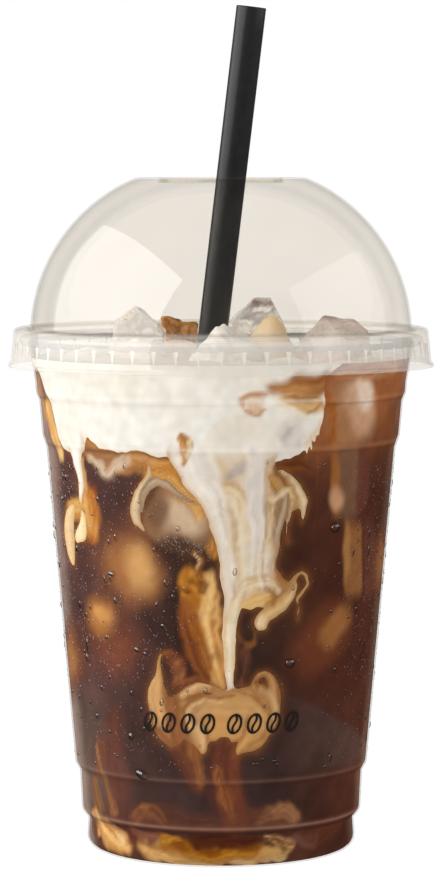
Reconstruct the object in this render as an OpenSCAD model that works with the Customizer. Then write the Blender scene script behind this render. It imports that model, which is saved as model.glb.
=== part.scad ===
// Iced cold brew with cream in a clear plastic cup, under a domed lid with a
// round hole, with a black straw. +Z is up, and the origin is the centre of the
// ring that the cup stands on.

/* [Cup] */
// Height to the top of the rolled rim
cup_height = 123.4; // [121:0.1:128]
// Outer diameter of the rolled rim
rim_d = 96.8; // [95:0.1:97]
// Height of the rolled rim
rim_h = 2.4; // [1.8:0.1:2.8]
// Outer diameter of the straight collar under the rim
collar_d = 88.9; // [88:0.1:90]
// Outer diameter at the top of the long taper
taper_top_d = 83.9; // [82:0.1:85]
// Outer diameter at the bottom of the long taper
taper_low_d = 70.5; // [68:0.1:72]
// Outer diameter of the short band above the foot
band_d = 67.6; // [66:0.1:68]
// Outer diameter of the foot
foot_d = 64.9; // [62:0.1:65.5]
// Thickness of the cup's wall
wall = 0.5; // [0.4:0.05:0.8]
// Height that the middle of the base is pushed up
base_rise = 3; // [1.5:0.1:4]
// Diameter of the pushed-up middle of the base
base_d = 54.4; // [48:0.1:56]

/* [Cup step heights] */
// Top of the foot
foot_z = 7.1; // [6:0.1:9]
// Top of the short band
band_z = 18.6; // [16:0.1:22]
// Top of the long taper
taper_z = 96.6; // [90:0.1:98]
// Top of the middle band, under the collar
middle_z = 107.8; // [105:0.1:109]

/* [Lid] */
// Thickness of the lid's sheet
lid_wall = 0.45; // [0.35:0.05:0.6]
// Height from the rim of the cup to the flat top of the dome
dome_rise = 37.6; // [30:0.1:45]
// Radius of the dome's arc
dome_r = 41.1; // [38:0.1:44]
// Outer diameter of the dome where it meets the shoulder
dome_d = 91.6; // [90:0.1:91.6]
// Diameter of the round hole in the top
hole_d = 29; // [24:0.5:34]
// Depth of the neck that turns down around the hole
neck_h = 1.2; // [0.6:0.1:3]
// Depth of the skirt below the rim of the cup
skirt_h = 7.4; // [6:0.1:9]
// Outward flare of the skirt from its top to its lip
skirt_flare = 1.3; // [0.5:0.1:2]
// Clearance between the lid and the rim that it sits on
lid_gap = 0.35; // [0.25:0.05:0.5]
// Number of grip dents around the skirt
dents = 60; // [24:1:72]
// Height of a grip dent
dent_h = 3.2; // [2:0.1:3.4]
// Width of a grip dent at its top
dent_w = 2.6; // [1:0.1:3]
// How far a grip dent reaches inward
dent_deep = 0.5; // [0.2:0.05:0.5]

/* [Straw] */
// Outer diameter
straw_d = 7; // [5:0.1:8]
// Thickness of the straw's wall
straw_wall = 0.4; // [0.2:0.05:0.8]
// Length of the straw
straw_len = 198.6; // [190:0.1:230]
// Lean away from upright, in degrees
straw_lean = 8.3; // [4:0.1:10]
// Direction of the lean, in degrees from +X
straw_turn = -36; // [-60:1:0]
// Position across the hole, along X
straw_x = 2.4; // [0:0.1:5]
// Clearance between the straw and what it touches
straw_gap = 0.3; // [0.1:0.05:0.5]

/* [Drink] */
// Depth of the drink's surface below the cup's rim
headroom = 4.4; // [3:0.1:8]
// Clearance between the drink and the cup
fill_gap = 0.05; // [0.03:0.01:0.1]
// Thickness of the cream layer at the left side
cream_left = 20; // [16:0.5:24]
// Thickness of the cream layer at the right side
cream_right = 6; // [4:0.5:10]
// Number of drips that hang from the cream layer
drips = 9; // [5:1:14]
// Length of the longest drip
drip_len = 24; // [12:1:34]
// Height of the bottom end of the main stream
stream_z = 40; // [34:1:50]
// Width of the main stream where it leaves the layer
stream_w = 26; // [20:1:30]
// Height of the middle of the billow under the stream
billow_z = 31; // [26:1:33]
// Width of the billow
billow_w = 30; // [22:1:34]
// Thickness of the pool of cream on the cup's floor
pool_h = 2.5; // [1.5:0.5:4]

/* [Ice] */
// Edge of a large ice cube
ice_large = 24; // [20:0.5:26]
// Edge of a small ice cube
ice_small = 19; // [16:0.5:21]
// Rounding of the corners, as the cube's diagonal over the rounding sphere's diameter
ice_melt = 1.18; // [1.05:0.01:1.3]
// Height of the tallest ice above the drink
ice_proud = 12.5; // [8:0.5:14]

/* [Hidden] */
ROUND = 96;
ARC_STEPS = 5;
DOME_STEPS = 18;
PROBE = 300;

// Heights and radii that the pieces share
level_z = cup_height - headroom;
lid_top_z = cup_height + dome_rise;
floor_z = base_rise + wall + fill_gap;
hole_r = hole_d / 2;
rim_r = rim_d / 2;
dome_base_r = dome_d / 2;
lid_seat_z = cup_height + lid_gap + lid_wall;
skirt_r = rim_r + lid_gap + dent_deep + lid_wall;
lip_r = skirt_r + skirt_flare;
lip_h = 0.7;

// Points on the arc that rounds one corner, where a corner is [r, z, rounding]
function unit(v) = v / norm(v);
function flat(p) = [p[0], p[1]];
function corner_arc(before, corner, after) =
    let (
        p = flat(corner),
        u = unit(flat(before) - p),
        v = unit(flat(after) - p),
        half = acos(u * v) / 2,
        centre = p + unit(u + v) * corner[2] / sin(half),
        start = p + u * corner[2] / tan(half) - centre,
        end = p + v * corner[2] / tan(half) - centre,
        a0 = atan2(start[1], start[0]),
        turn = atan2(end[1], end[0]) - a0,
        sweep = turn > 180 ? turn - 360 : turn < -180 ? turn + 360 : turn
    )
    [for (i = [0 : ARC_STEPS]) let (a = a0 + sweep * i / ARC_STEPS)
        centre + corner[2] * [cos(a), sin(a)]];

// An open path through corners, each rounded by its own radius
function rounded(corners) =
    let (last = len(corners) - 1)
    [for (i = [0 : last])
        for (p = (i == 0 || i == last || corners[i][2] == 0)
            ? [flat(corners[i])]
            : corner_arc(corners[i - 1], corners[i], corners[i + 1])) p];

// The same path moved sideways, to the left of its direction
function left_of(v) = unit([-v[1], v[0]]);
function moved_left(path, distance) =
    let (last = len(path) - 1)
    [for (i = [0 : last])
        let (
            a = left_of(i == 0 ? path[1] - path[0] : path[i] - path[i - 1]),
            b = left_of(i == last ? path[i] - path[i - 1] : path[i + 1] - path[i])
        )
        path[i] + (a + b) * distance / (1 + a * b)];

function backwards(path) = [for (i = [len(path) - 1 : -1 : 0]) path[i]];

// The cup's outside, from the middle of its base up to its rolled rim
FOOT_CORNER = 2.6;
STEP_IN = 0.9;
STEP_OUT = 1.5;
LEDGE_RISE = 2;
NECK_R = rim_r - 2.4;
cup_outside = rounded([
    [0, base_rise, 0],
    [base_d / 2, base_rise, 1],
    [base_d / 2 + 1.4, 0, 0.8],
    [foot_d / 2 + 0.1, 0, FOOT_CORNER],
    [foot_d / 2 - 0.4, foot_z, STEP_IN / 2],
    [band_d / 2 - 0.1, foot_z + LEDGE_RISE, STEP_OUT],
    [band_d / 2 + 0.35, band_z, STEP_IN],
    [taper_low_d / 2, band_z + LEDGE_RISE, STEP_OUT],
    [taper_top_d / 2, taper_z, STEP_IN],
    [taper_top_d / 2 + 1, taper_z + 1.5 * LEDGE_RISE, STEP_OUT],
    [collar_d / 2 - 0.8, middle_z, STEP_IN],
    [collar_d / 2, middle_z + LEDGE_RISE, STEP_OUT],
    [collar_d / 2 + 0.2, middle_z + 2.4 * LEDGE_RISE, STEP_OUT],
    [NECK_R, cup_height - rim_h - 0.5, STEP_OUT],
    [NECK_R, cup_height, 0],
]);
cup_inside = moved_left(cup_outside, wall);
drink_outside = moved_left(cup_outside, wall + fill_gap);

// The lid's outside, from the neck of its hole down to its lip
dome_centre = [dome_base_r - dome_r, lid_seat_z - 1.2];
dome_top_angle = asin((lid_top_z - dome_centre[1]) / dome_r);
dome_arc = [for (i = [0 : DOME_STEPS]) let (a = dome_top_angle * (1 - i / DOME_STEPS))
    dome_centre + dome_r * [cos(a), sin(a)]];
lid_outside = concat(
    rounded([
        [hole_r, lid_top_z - neck_h, 0],
        [hole_r, lid_top_z, lid_wall + 0.1],
        flat(dome_arc[0])
    ]),
    [for (i = [1 : DOME_STEPS - 2]) dome_arc[i]],
    rounded([
        dome_arc[DOME_STEPS - 1],
        [dome_base_r + 0.05, lid_seat_z - 0.1, 0.3],
        [dome_base_r + 1, lid_seat_z + 1.4, lid_wall + 0.15],
        [skirt_r, lid_seat_z + 0.8, 1],
        [skirt_r + 0.3, cup_height - 2, 0],
        [lip_r - 0.6, cup_height - skirt_h + lip_h + 0.4, 0.5],
        [lip_r, cup_height - skirt_h + lip_h, lid_wall + 0.05],
        [lip_r, cup_height - skirt_h, 0],
    ])
);
lid_inside = moved_left(lid_outside, -lid_wall);

module turned(outline) {
    rotate_extrude($fn = ROUND) polygon(outline);
}

// A solid of the cup's inner shape, filled up to the drink's surface
module drink_room() {
    intersection() {
        turned(concat(drink_outside, [[0, drink_outside[len(drink_outside) - 1][1]]]));
        cylinder(h = level_z, r = PROBE, $fn = ROUND);
    }
}

module cup() {
    rim = rounded([
        [NECK_R, cup_height - rim_h, 0],
        [rim_r, cup_height - rim_h, rim_h * 0.45],
        [rim_r, cup_height, rim_h * 0.45],
        [NECK_R - wall, cup_height, 0],
    ]);
    color([0.93, 0.94, 0.93, 0.3])
    union() {
        turned(concat(cup_outside, backwards(cup_inside)));
        turned(rim);
    }
}

// One grip dent: a wedge that follows the inner side of the skirt's sloping wall
module dent() {
    top = cup_height - 2;
    slope = atan2(lip_r - 0.6 - skirt_r - 0.3, top - cup_height + skirt_h - lip_h - 0.4);
    translate([skirt_r + 0.3 - lid_wall, 0, top])
        rotate([0, -slope, 0]) translate([0, 0, -dent_h]) linear_extrude(dent_h)
            polygon([[lid_wall / 2, -dent_w / 2], [lid_wall / 2, dent_w / 2], [-dent_deep, 0]]);
}

module lid() {
    color([0.95, 0.94, 0.91, 0.3])
    union() {
        turned(concat(lid_outside, backwards(lid_inside)));
        for (i = [0 : dents - 1]) rotate([0, 0, i * 360 / dents]) dent();
    }
}

// Places its children along the leaning straw, with Z along the straw's axis and 0 at its foot
straw_reach = hole_r - straw_gap - straw_d / 2 / cos(straw_lean);
straw_y = -sqrt(pow(straw_reach, 2) - pow(straw_x, 2));
straw_foot_z = floor_z + straw_gap + straw_d / 2 * sin(straw_lean);
module along_straw() {
    run = (lid_top_z - straw_foot_z) * tan(straw_lean);
    translate([
        straw_x - run * cos(straw_turn),
        straw_y - run * sin(straw_turn),
        straw_foot_z
    ])
    rotate([0, straw_lean, straw_turn])
    rotate([0, 0, 90])
    children();
}

module straw() {
    color([0.04, 0.04, 0.045])
    along_straw() difference() {
        cylinder(h = straw_len, d = straw_d, $fn = ROUND);
        translate([0, 0, -1]) cylinder(h = straw_len + 2, d = straw_d - 2 * straw_wall, $fn = ROUND);
    }
}

module straw_room() {
    along_straw() translate([0, 0, -straw_d]) cylinder(h = straw_len, d = straw_d + 2 * fill_gap, $fn = ROUND);
}

// A half-melted ice cube: its faces are flat and its corners are worn round
module ice_cube(edge, grow = 0) {
    intersection() {
        cube([edge, edge * 0.92, edge * 0.86] + [2, 2, 2] * grow, center = true);
        sphere(d = edge * sqrt(3) / ice_melt + 2 * grow, $fn = ROUND);
    }
}

module ice_back_at() {
    translate([10, 10, level_z + ice_proud - ice_large * 0.56]) rotate([18, -24, 30]) children();
}
module ice_front_at() {
    translate([-1, -24.5, level_z + ice_proud - ice_small * 0.92]) rotate([38, 42, 12]) children();
}
module ice_left_at() {
    translate([-21, 6, level_z + ice_proud - ice_large * 0.72]) rotate([-28, 20, 20]) children();
}
module ice_right_at() {
    translate([24, -15, level_z + ice_proud - ice_large * 0.74]) rotate([12, 24, -36]) children();
}

ICE_TINT = [0.87, 0.85, 0.83, 0.5];
module ice_back() {
    color(ICE_TINT) ice_back_at() ice_cube(ice_large);
}
module ice_front() {
    color([0.93, 0.91, 0.88]) ice_front_at() ice_cube(ice_small);
}
module ice_left() {
    color(ICE_TINT) ice_left_at() ice_cube(ice_large * 0.9);
}
module ice_right() {
    color(ICE_TINT) ice_right_at() ice_cube(ice_large * 0.8);
}

// Everything that the drink is cut round
module in_the_drink() {
    straw_room();
    ice_back_at() ice_cube(ice_large, fill_gap);
    ice_front_at() ice_cube(ice_small, fill_gap);
    ice_left_at() ice_cube(ice_large * 0.9, fill_gap);
    ice_right_at() ice_cube(ice_large * 0.8, fill_gap);
}

// The space that the cream takes: a layer on top, its drips, the stream, its billow and the pool
module cream_layer() {
    tilt = atan2(cream_left - cream_right, collar_d);
    middle = (cream_left + cream_right) / 2;
    translate([0, 0, level_z - middle]) rotate([0, -tilt, 0])
        translate([-PROBE, -PROBE, 0]) cube([2 * PROBE, 2 * PROBE, PROBE]);
}

// A hanging drop, with its top at 0 and its round end below
module drop(length, top_d, end_d) {
    turned(concat(
        rounded([[0, -length, 0], [end_d / 2, -length, end_d * 0.42], [top_d / 2, 0, 0]]),
        [[0, 0]]
    ));
}

DRIP_D = 6;
module cream_drips() {
    for (i = [0 : drips - 1]) {
        angle = 200 + i * 300 / drips;
        hang = drip_len * (0.5 + 0.5 * pow(cos(i * 137), 2));
        rotate([0, 0, angle]) translate([collar_d / 2 - DRIP_D * 0.9, 0, level_z - cream_right / 2])
            drop(cream_right / 2 + hang, DRIP_D * 1.6, DRIP_D * 0.7);
    }
}

// The stream is a flat-faced tongue that narrows downward behind the cup's front wall
STREAM_X = 3;
STREAM_DEEP = 12;
module cream_stream() {
    top = level_z - cream_right / 2;
    outline = rounded([
        [STREAM_X - stream_w / 2, top, 0],
        [STREAM_X - DRIP_D / 2, stream_z, DRIP_D * 0.3],
        [STREAM_X + DRIP_D / 2, stream_z, DRIP_D * 0.3],
        [STREAM_X + stream_w / 2, top, 0],
    ]);
    translate([0, STREAM_DEEP - taper_low_d / 2, 0]) rotate([90, 0, 0])
        linear_extrude(PROBE) polygon(outline);
}

module cream_billow() {
    tube = billow_w * 0.22;
    translate([-1, -taper_low_d / 2 + 12, billow_z]) {
        rotate_extrude($fn = ROUND) translate([billow_w / 2 - tube, 0]) circle(r = tube, $fn = ROUND);
        translate([0, 0, -tube * 0.6]) cylinder(h = 2 * tube, r = billow_w / 2 - tube, $fn = ROUND);
    }
}

module cream_pool() {
    translate([-PROBE, -PROBE, -PROBE]) cube([2 * PROBE, 2 * PROBE, PROBE + floor_z + pool_h]);
}

module cream_room() {
    cream_layer();
    cream_drips();
    cream_stream();
    cream_billow();
    cream_pool();
}

module coffee() {
    color([0.16, 0.08, 0.05])
    difference() {
        drink_room();
        cream_room();
        in_the_drink();
    }
}

module cream() {
    color([0.95, 0.92, 0.86])
    difference() {
        intersection() {
            drink_room();
            cream_room();
        }
        in_the_drink();
    }
}

cup();
lid();
straw();
coffee();
cream();
ice_back();
ice_front();
ice_left();
ice_right();
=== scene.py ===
"""Looks for the iced cold brew in a domed plastic cup. Sizes are in millimetres until a mesh is made."""

import math

import bmesh
import bpy
import numpy as np
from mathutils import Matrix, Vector


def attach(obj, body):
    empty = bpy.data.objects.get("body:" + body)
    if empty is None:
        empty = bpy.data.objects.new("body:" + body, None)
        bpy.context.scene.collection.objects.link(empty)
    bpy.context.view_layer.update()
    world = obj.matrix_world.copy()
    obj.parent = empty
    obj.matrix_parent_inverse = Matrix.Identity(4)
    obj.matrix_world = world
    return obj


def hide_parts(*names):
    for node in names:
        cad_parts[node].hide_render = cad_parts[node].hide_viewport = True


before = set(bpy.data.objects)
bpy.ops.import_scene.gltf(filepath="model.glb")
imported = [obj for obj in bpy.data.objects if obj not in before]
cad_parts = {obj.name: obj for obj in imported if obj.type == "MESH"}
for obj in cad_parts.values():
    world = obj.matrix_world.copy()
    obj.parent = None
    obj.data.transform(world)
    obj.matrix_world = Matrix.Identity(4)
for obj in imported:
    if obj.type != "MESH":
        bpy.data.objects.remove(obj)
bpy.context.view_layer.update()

MM = 0.001

# ---------------------------------------------------------------- sizes, as in the CAD part
CUP_H = 123.4
RIM_R, RIM_H = 48.4, 2.4
COLLAR_R, TAPER_TOP_R, TAPER_LOW_R = 44.45, 41.95, 35.25
BAND_R, FOOT_R = 33.8, 32.45
WALL, LID_WALL = 0.5, 0.45
BASE_RISE, BASE_R = 3.0, 27.2
FOOT_Z, BAND_Z, TAPER_Z, MIDDLE_Z = 7.1, 18.6, 96.6, 107.8
LEDGE = 2.0
NECK_R = RIM_R - 2.4
LID_TOP = 161.0
DOME_R, DOME_BASE_R = 41.1, 45.8
HOLE_R, NECK_H = 14.5, 1.2
SEAT_Z = CUP_H + 0.8
SKIRT_R, LIP_R, LIP_Z = 49.7, 51.0, 116.0
DENTS = 60
STRAW_R, STRAW_WALL, STRAW_LEN = 3.5, 0.4, 198.6
STRAW_LEAN, STRAW_TURN = math.radians(8.3), math.radians(-36)
LEVEL = 118.2
INTO_WALL = 0.15


def srgb(*rgb):
    """A display colour from 0 to 255, as linear light."""
    c = np.array(rgb, float) / 255
    return np.where(c <= 0.04045, c / 12.92, ((c + 0.055) / 1.055) ** 2.4)


# ---------------------------------------------------------------- outlines that are turned
def unit(v):
    return v / np.linalg.norm(v)


def rounded(corners, steps=6):
    """A path through [r, z, rounding] corners."""
    out = []
    for i, (r, z, rad) in enumerate(corners):
        p = np.array([r, z], float)
        if i in (0, len(corners) - 1) or rad == 0:
            out.append(p)
            continue
        u = unit(np.array(corners[i - 1][:2], float) - p)
        v = unit(np.array(corners[i + 1][:2], float) - p)
        half = math.acos(float(np.clip(u @ v, -1, 1))) / 2
        centre = p + unit(u + v) * rad / math.sin(half)
        start, end = p + u * rad / math.tan(half) - centre, p + v * rad / math.tan(half) - centre
        a0, a1 = math.atan2(start[1], start[0]), math.atan2(end[1], end[0])
        sweep = (a1 - a0 + math.pi) % (2 * math.pi) - math.pi
        for k in range(steps + 1):
            a = a0 + sweep * k / steps
            out.append(centre + rad * np.array([math.cos(a), math.sin(a)]))
    return np.array(out)


def moved_left(path, distance):
    """The path moved sideways, to the left of its direction."""
    step = np.diff(path, axis=0)
    side = np.stack([-step[:, 1], step[:, 0]], 1) / np.linalg.norm(step, axis=1)[:, None]
    before, after = np.vstack([side[:1], side]), np.vstack([side, side[-1:]])
    return path + (before + after) * distance / (1 + (before * after).sum(1))[:, None]


def spaced(path, step):
    """The path with points added, so that none are farther apart than step."""
    out = [path[0]]
    for a, b in zip(path[:-1], path[1:]):
        n = max(1, math.ceil(np.linalg.norm(b - a) / step))
        out += [a + (b - a) * k / n for k in range(1, n + 1)]
    return np.array(out)


def below(path, z):
    """The part of a rising path up to height z."""
    i = next(k for k in range(len(path)) if path[k][1] > z and path[k][0] > BASE_R)
    t = (z - path[i - 1][1]) / (path[i][1] - path[i - 1][1])
    return np.vstack([path[:i], path[i - 1] + (path[i] - path[i - 1]) * t])


cup_outside = rounded([
    (0.01, BASE_RISE, 0), (BASE_R, BASE_RISE, 1), (BASE_R + 1.4, 0, 0.8), (FOOT_R + 0.1, 0, 2.6),
    (FOOT_R - 0.4, FOOT_Z, 0.45), (BAND_R - 0.1, FOOT_Z + LEDGE, 1.5), (BAND_R + 0.35, BAND_Z, 0.9),
    (TAPER_LOW_R, BAND_Z + LEDGE, 1.5), (TAPER_TOP_R, TAPER_Z, 0.9),
    (TAPER_TOP_R + 1, TAPER_Z + 1.5 * LEDGE, 1.5), (COLLAR_R - 0.8, MIDDLE_Z, 0.9),
    (COLLAR_R, MIDDLE_Z + LEDGE, 1.5), (COLLAR_R + 0.2, MIDDLE_Z + 2.4 * LEDGE, 1.5),
    (NECK_R, CUP_H - RIM_H - 0.5, 1.5), (NECK_R, CUP_H - 1, 0),
])
cup_inside = moved_left(cup_outside, WALL)
drink_line = below(moved_left(cup_outside, WALL - INTO_WALL), LEVEL)


def mesh_object(name, verts_mm, faces, smooth=True):
    mesh = bpy.data.meshes.new(name)
    mesh.from_pydata((np.asarray(verts_mm, float) * MM).tolist(), [], faces)
    mesh.polygons.foreach_set("use_smooth", [smooth] * len(mesh.polygons))
    mesh.update()
    obj = bpy.data.objects.new(name, mesh)
    bpy.context.scene.collection.objects.link(obj)
    return obj


def grid_faces(rows, cols, wrap=True, offset=0):
    """Quads of a rows by cols grid of points, closed round the columns if wrap."""
    i, j = np.meshgrid(np.arange(rows - 1), np.arange(cols if wrap else cols - 1), indexing="ij")
    k = (j + 1) % cols
    quads = np.stack([i * cols + j, i * cols + k, (i + 1) * cols + k, (i + 1) * cols + j], -1)
    return (quads.reshape(-1, 4) + offset).tolist()


def turned(name, path, cols, closed=False):
    """A path turned about Z. Its outside is the right-hand side of a rising path."""
    a = np.linspace(0, 2 * math.pi, cols, endpoint=False)
    path = np.vstack([path, path[:1]]) if closed else path
    x = path[:, :1] * np.sin(a)[None]
    y = -path[:, :1] * np.cos(a)[None]
    z = np.repeat(path[:, 1:], cols, 1)
    return mesh_object(name, np.stack([x, y, z], -1).reshape(-1, 3), grid_faces(len(path), cols))


# ---------------------------------------------------------------- smooth noise in space
class Waves:
    """Smooth noise with a mean of 0 and a spread of about 1: many sine waves of about one length."""

    def __init__(self, seed, length, count=28):
        rng = np.random.default_rng(seed)
        k = rng.normal(size=(count, 3))
        k /= np.linalg.norm(k, axis=1)[:, None]
        self.k = k * (2 * math.pi / length * rng.uniform(0.55, 1.5, count))[:, None]
        self.phase = rng.uniform(0, 2 * math.pi, count)

    def __call__(self, p):
        out = np.zeros(len(p))
        for k, f in zip(self.k, self.phase):
            out += np.sin(p @ k + f)
        return out / math.sqrt(len(self.phase) / 2)


def smooth(lo, hi, v):
    t = np.clip((v - lo) / (hi - lo), 0, 1)
    return t * t * (3 - 2 * t)


def wrapped(a):
    """The same angle, from half a turn under 0 to half a turn over it."""
    return (a + math.pi) % (2 * math.pi) - math.pi


# ---------------------------------------------------------------- the drink's wall, as a grid
STEP = 0.53
FRONT_COLS, BACK_COLS = 250, 66
FRONT_HALF = math.radians(92)
front = np.linspace(-FRONT_HALF, FRONT_HALF, FRONT_COLS, endpoint=False)
back = np.linspace(FRONT_HALF, 2 * math.pi - FRONT_HALF, BACK_COLS, endpoint=False)
turn = wrapped(np.concatenate([front, back]))
foot_i = int(np.argmax(drink_line[:, 0] > BASE_R + 1))
line = np.vstack([spaced(drink_line[:foot_i], 3), spaced(drink_line[foot_i:], STEP)[1:]])
ROWS, COLS = len(line), len(turn)
R_GRID = np.repeat(line[:, 0], COLS)
Z_GRID = np.repeat(line[:, 1], COLS)
T_GRID = np.tile(turn, ROWS)
POINTS = np.stack([R_GRID * np.sin(T_GRID), -R_GRID * np.cos(T_GRID), Z_GRID], 1)
wall_part = line[:, 0] > BASE_R + 2
WALL_Z, WALL_R = line[wall_part][:, 1], line[wall_part][:, 0]


def radius_at(z):
    return np.interp(z, WALL_Z, WALL_R)


def around(x, z):
    """Distance round the wall from the front, for a point seen x from the middle at height z."""
    r = radius_at(z)
    return r * math.asin(max(-0.999, min(0.999, x / r)))


# A slow and a fine waver, so that no outline is a drawn curve
waver_u = 0.30 * Waves(1, 9)(POINTS) + 0.06 * Waves(2, 2.6)(POINTS)
waver_z = 0.34 * Waves(3, 9)(POINTS) + 0.10 * Waves(4, 2.6)(POINTS)
U_GRID = R_GRID * T_GRID + waver_u
V_GRID = Z_GRID + waver_z


def curve(points, per=9):
    """A smooth curve through (u, z, half width) points."""
    p = np.array(points, float)
    p = np.vstack([2 * p[0] - p[1], p, 2 * p[-1] - p[-2]])
    out = []
    for i in range(1, len(p) - 2):
        for k in range(per):
            t = k / per
            out.append(0.5 * (2 * p[i] + (p[i + 1] - p[i - 1]) * t
                              + (2 * p[i - 1] - 5 * p[i] + 4 * p[i + 1] - p[i + 2]) * t * t
                              + (3 * p[i] - p[i - 1] - 3 * p[i + 1] + p[i + 2]) * t ** 3))
    out.append(p[-2])
    out = np.array(out)
    out[:, 2] = np.maximum(out[:, 2], 0.05)
    return out


FAR = 99.0


def stroke_points(points):
    """(x, z, half width) seen from the front, or ("u", u, z, half width), all as (u, z, half width)."""
    return [p[1:] if p[0] == "u" else (around(p[0], p[1]), p[1], p[2]) for p in points]


def distance_to(points, reach=7.0):
    """For each wall point: distance to a stroke's edge (under 0 inside), place along it, and side."""
    c = curve(stroke_points(points))
    big = c[:, 2].max() + reach
    near = np.flatnonzero((U_GRID > c[:, 0].min() - big) & (U_GRID < c[:, 0].max() + big)
                          & (V_GRID > c[:, 1].min() - big) & (V_GRID < c[:, 1].max() + big))
    d, along, side = (np.full(len(U_GRID), FAR), np.zeros(len(U_GRID)), np.zeros(len(U_GRID)))
    pu, pv = U_GRID[near], V_GRID[near]
    best, s0 = np.full(len(near), FAR), 0.0
    b_along, b_side = np.zeros(len(near)), np.zeros(len(near))
    for a, b in zip(c[:-1], c[1:]):
        e = b[:2] - a[:2]
        length = max(np.linalg.norm(e), 1e-6)
        t = np.clip(((pu - a[0]) * e[0] + (pv - a[1]) * e[1]) / length ** 2, 0, 1)
        w = a[2] + (b[2] - a[2]) * t
        du, dv = pu - a[0] - e[0] * t, pv - a[1] - e[1] * t
        dist = np.hypot(du, dv) - w
        better = dist < best
        best = np.where(better, dist, best)
        b_along = np.where(better, s0 + t * length, b_along)
        b_side = np.where(better, (e[0] * dv - e[1] * du) / length / w, b_side)
        s0 += length
    d[near], along[near], side[near] = best, b_along, b_side
    return d, along, side


# ---------------------------------------------------------------- colours
WHITE = (246, 241, 232)
CREAM = (232, 217, 193)
MAUVE_SHADE = (196, 182, 178)
TAN = (214, 182, 137)
GOLD = (206, 152, 84)
RUST = (112, 58, 34)
COFFEE = (54, 36, 31)

n = len(U_GRID)
base = np.tile(srgb(*COFFEE), (n, 1))


def blended(first, second, share):
    """Linear colours from one display colour to another, point by point."""
    return srgb(*first) + (srgb(*second) - srgb(*first)) * share[:, None]


def paint(colours, mask, what):
    """Lay a display colour, or linear colours point by point, over the colours."""
    what = srgb(*what) if isinstance(what, tuple) else what
    colours += (what - colours) * mask[:, None]


def blob(u, z, half_w, half_h, tilt=0.0, soft=1.0, box=2.0):
    """A soft round or boxy patch of the wall: 1 in its middle and 0 well outside it."""
    a = math.radians(tilt)
    du, dv = U_GRID - u, V_GRID - z
    p = (du * math.cos(a) + dv * math.sin(a)) / half_w
    q = (-du * math.sin(a) + dv * math.cos(a)) / half_h
    r = (np.abs(p) ** box + np.abs(q) ** box) ** (1 / box)
    return 1 - smooth(1 - 0.5 * soft, 1 + 0.5 * soft, r)


def patch(x, z, *shape):
    """The same, x from the middle as seen from the front."""
    return blob(around(x, z), z, *shape)


slow, mid, fine = Waves(5, 30)(POINTS), Waves(6, 8)(POINTS), Waves(7, 3)(POINTS)

# The coffee: greyer on the misted left, red-brown high on the right, near black low in the middle, and a
# pale strip of painted reflection at each side's edge
side_x = POINTS[:, 0] / R_GRID
paint(base, smooth(-0.1, -0.75, side_x) * 0.85, (88, 60, 56))
paint(base, smooth(0.15, 0.7, side_x) * 0.8, (84, 44, 30))
paint(base, smooth(85, 112, Z_GRID) * smooth(0.3, 0.6, side_x), (146, 88, 55))
paint(base, smooth(50, 28, Z_GRID) * smooth(-0.5, -0.95, side_x) * 0.7, (98, 82, 72))
veil = smooth(0, 2.5, (43 - 0.45 * (U_GRID - 14)) - V_GRID)
veil = veil * smooth(20.5, 24, V_GRID) * smooth(8, 26, U_GRID)
paint(base, veil * 0.5, (90, 72, 65))
paint(base, smooth(46, 34, Z_GRID) * smooth(1.0, 0.3, np.abs(side_x)) * 0.75, (61, 44, 41))
paint(base, smooth(14, 4, Z_GRID) * 0.7, (78, 44, 32))
paint(base, smooth(97.0, 98.2, Z_GRID) * smooth(0.3, 0.6, side_x) * 0.5, (150, 90, 52))
# Painted reflection: pale strips at the far left and right edges, where the wall is seen at a slant
paint(base, smooth(-0.90, -1.0, side_x) * 0.65, (172, 150, 138))
paint(base, smooth(0.93, 1.0, side_x) * 0.5, (150, 118, 100))
base *= np.exp(0.10 * slow + 0.05 * mid)[:, None]

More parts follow.
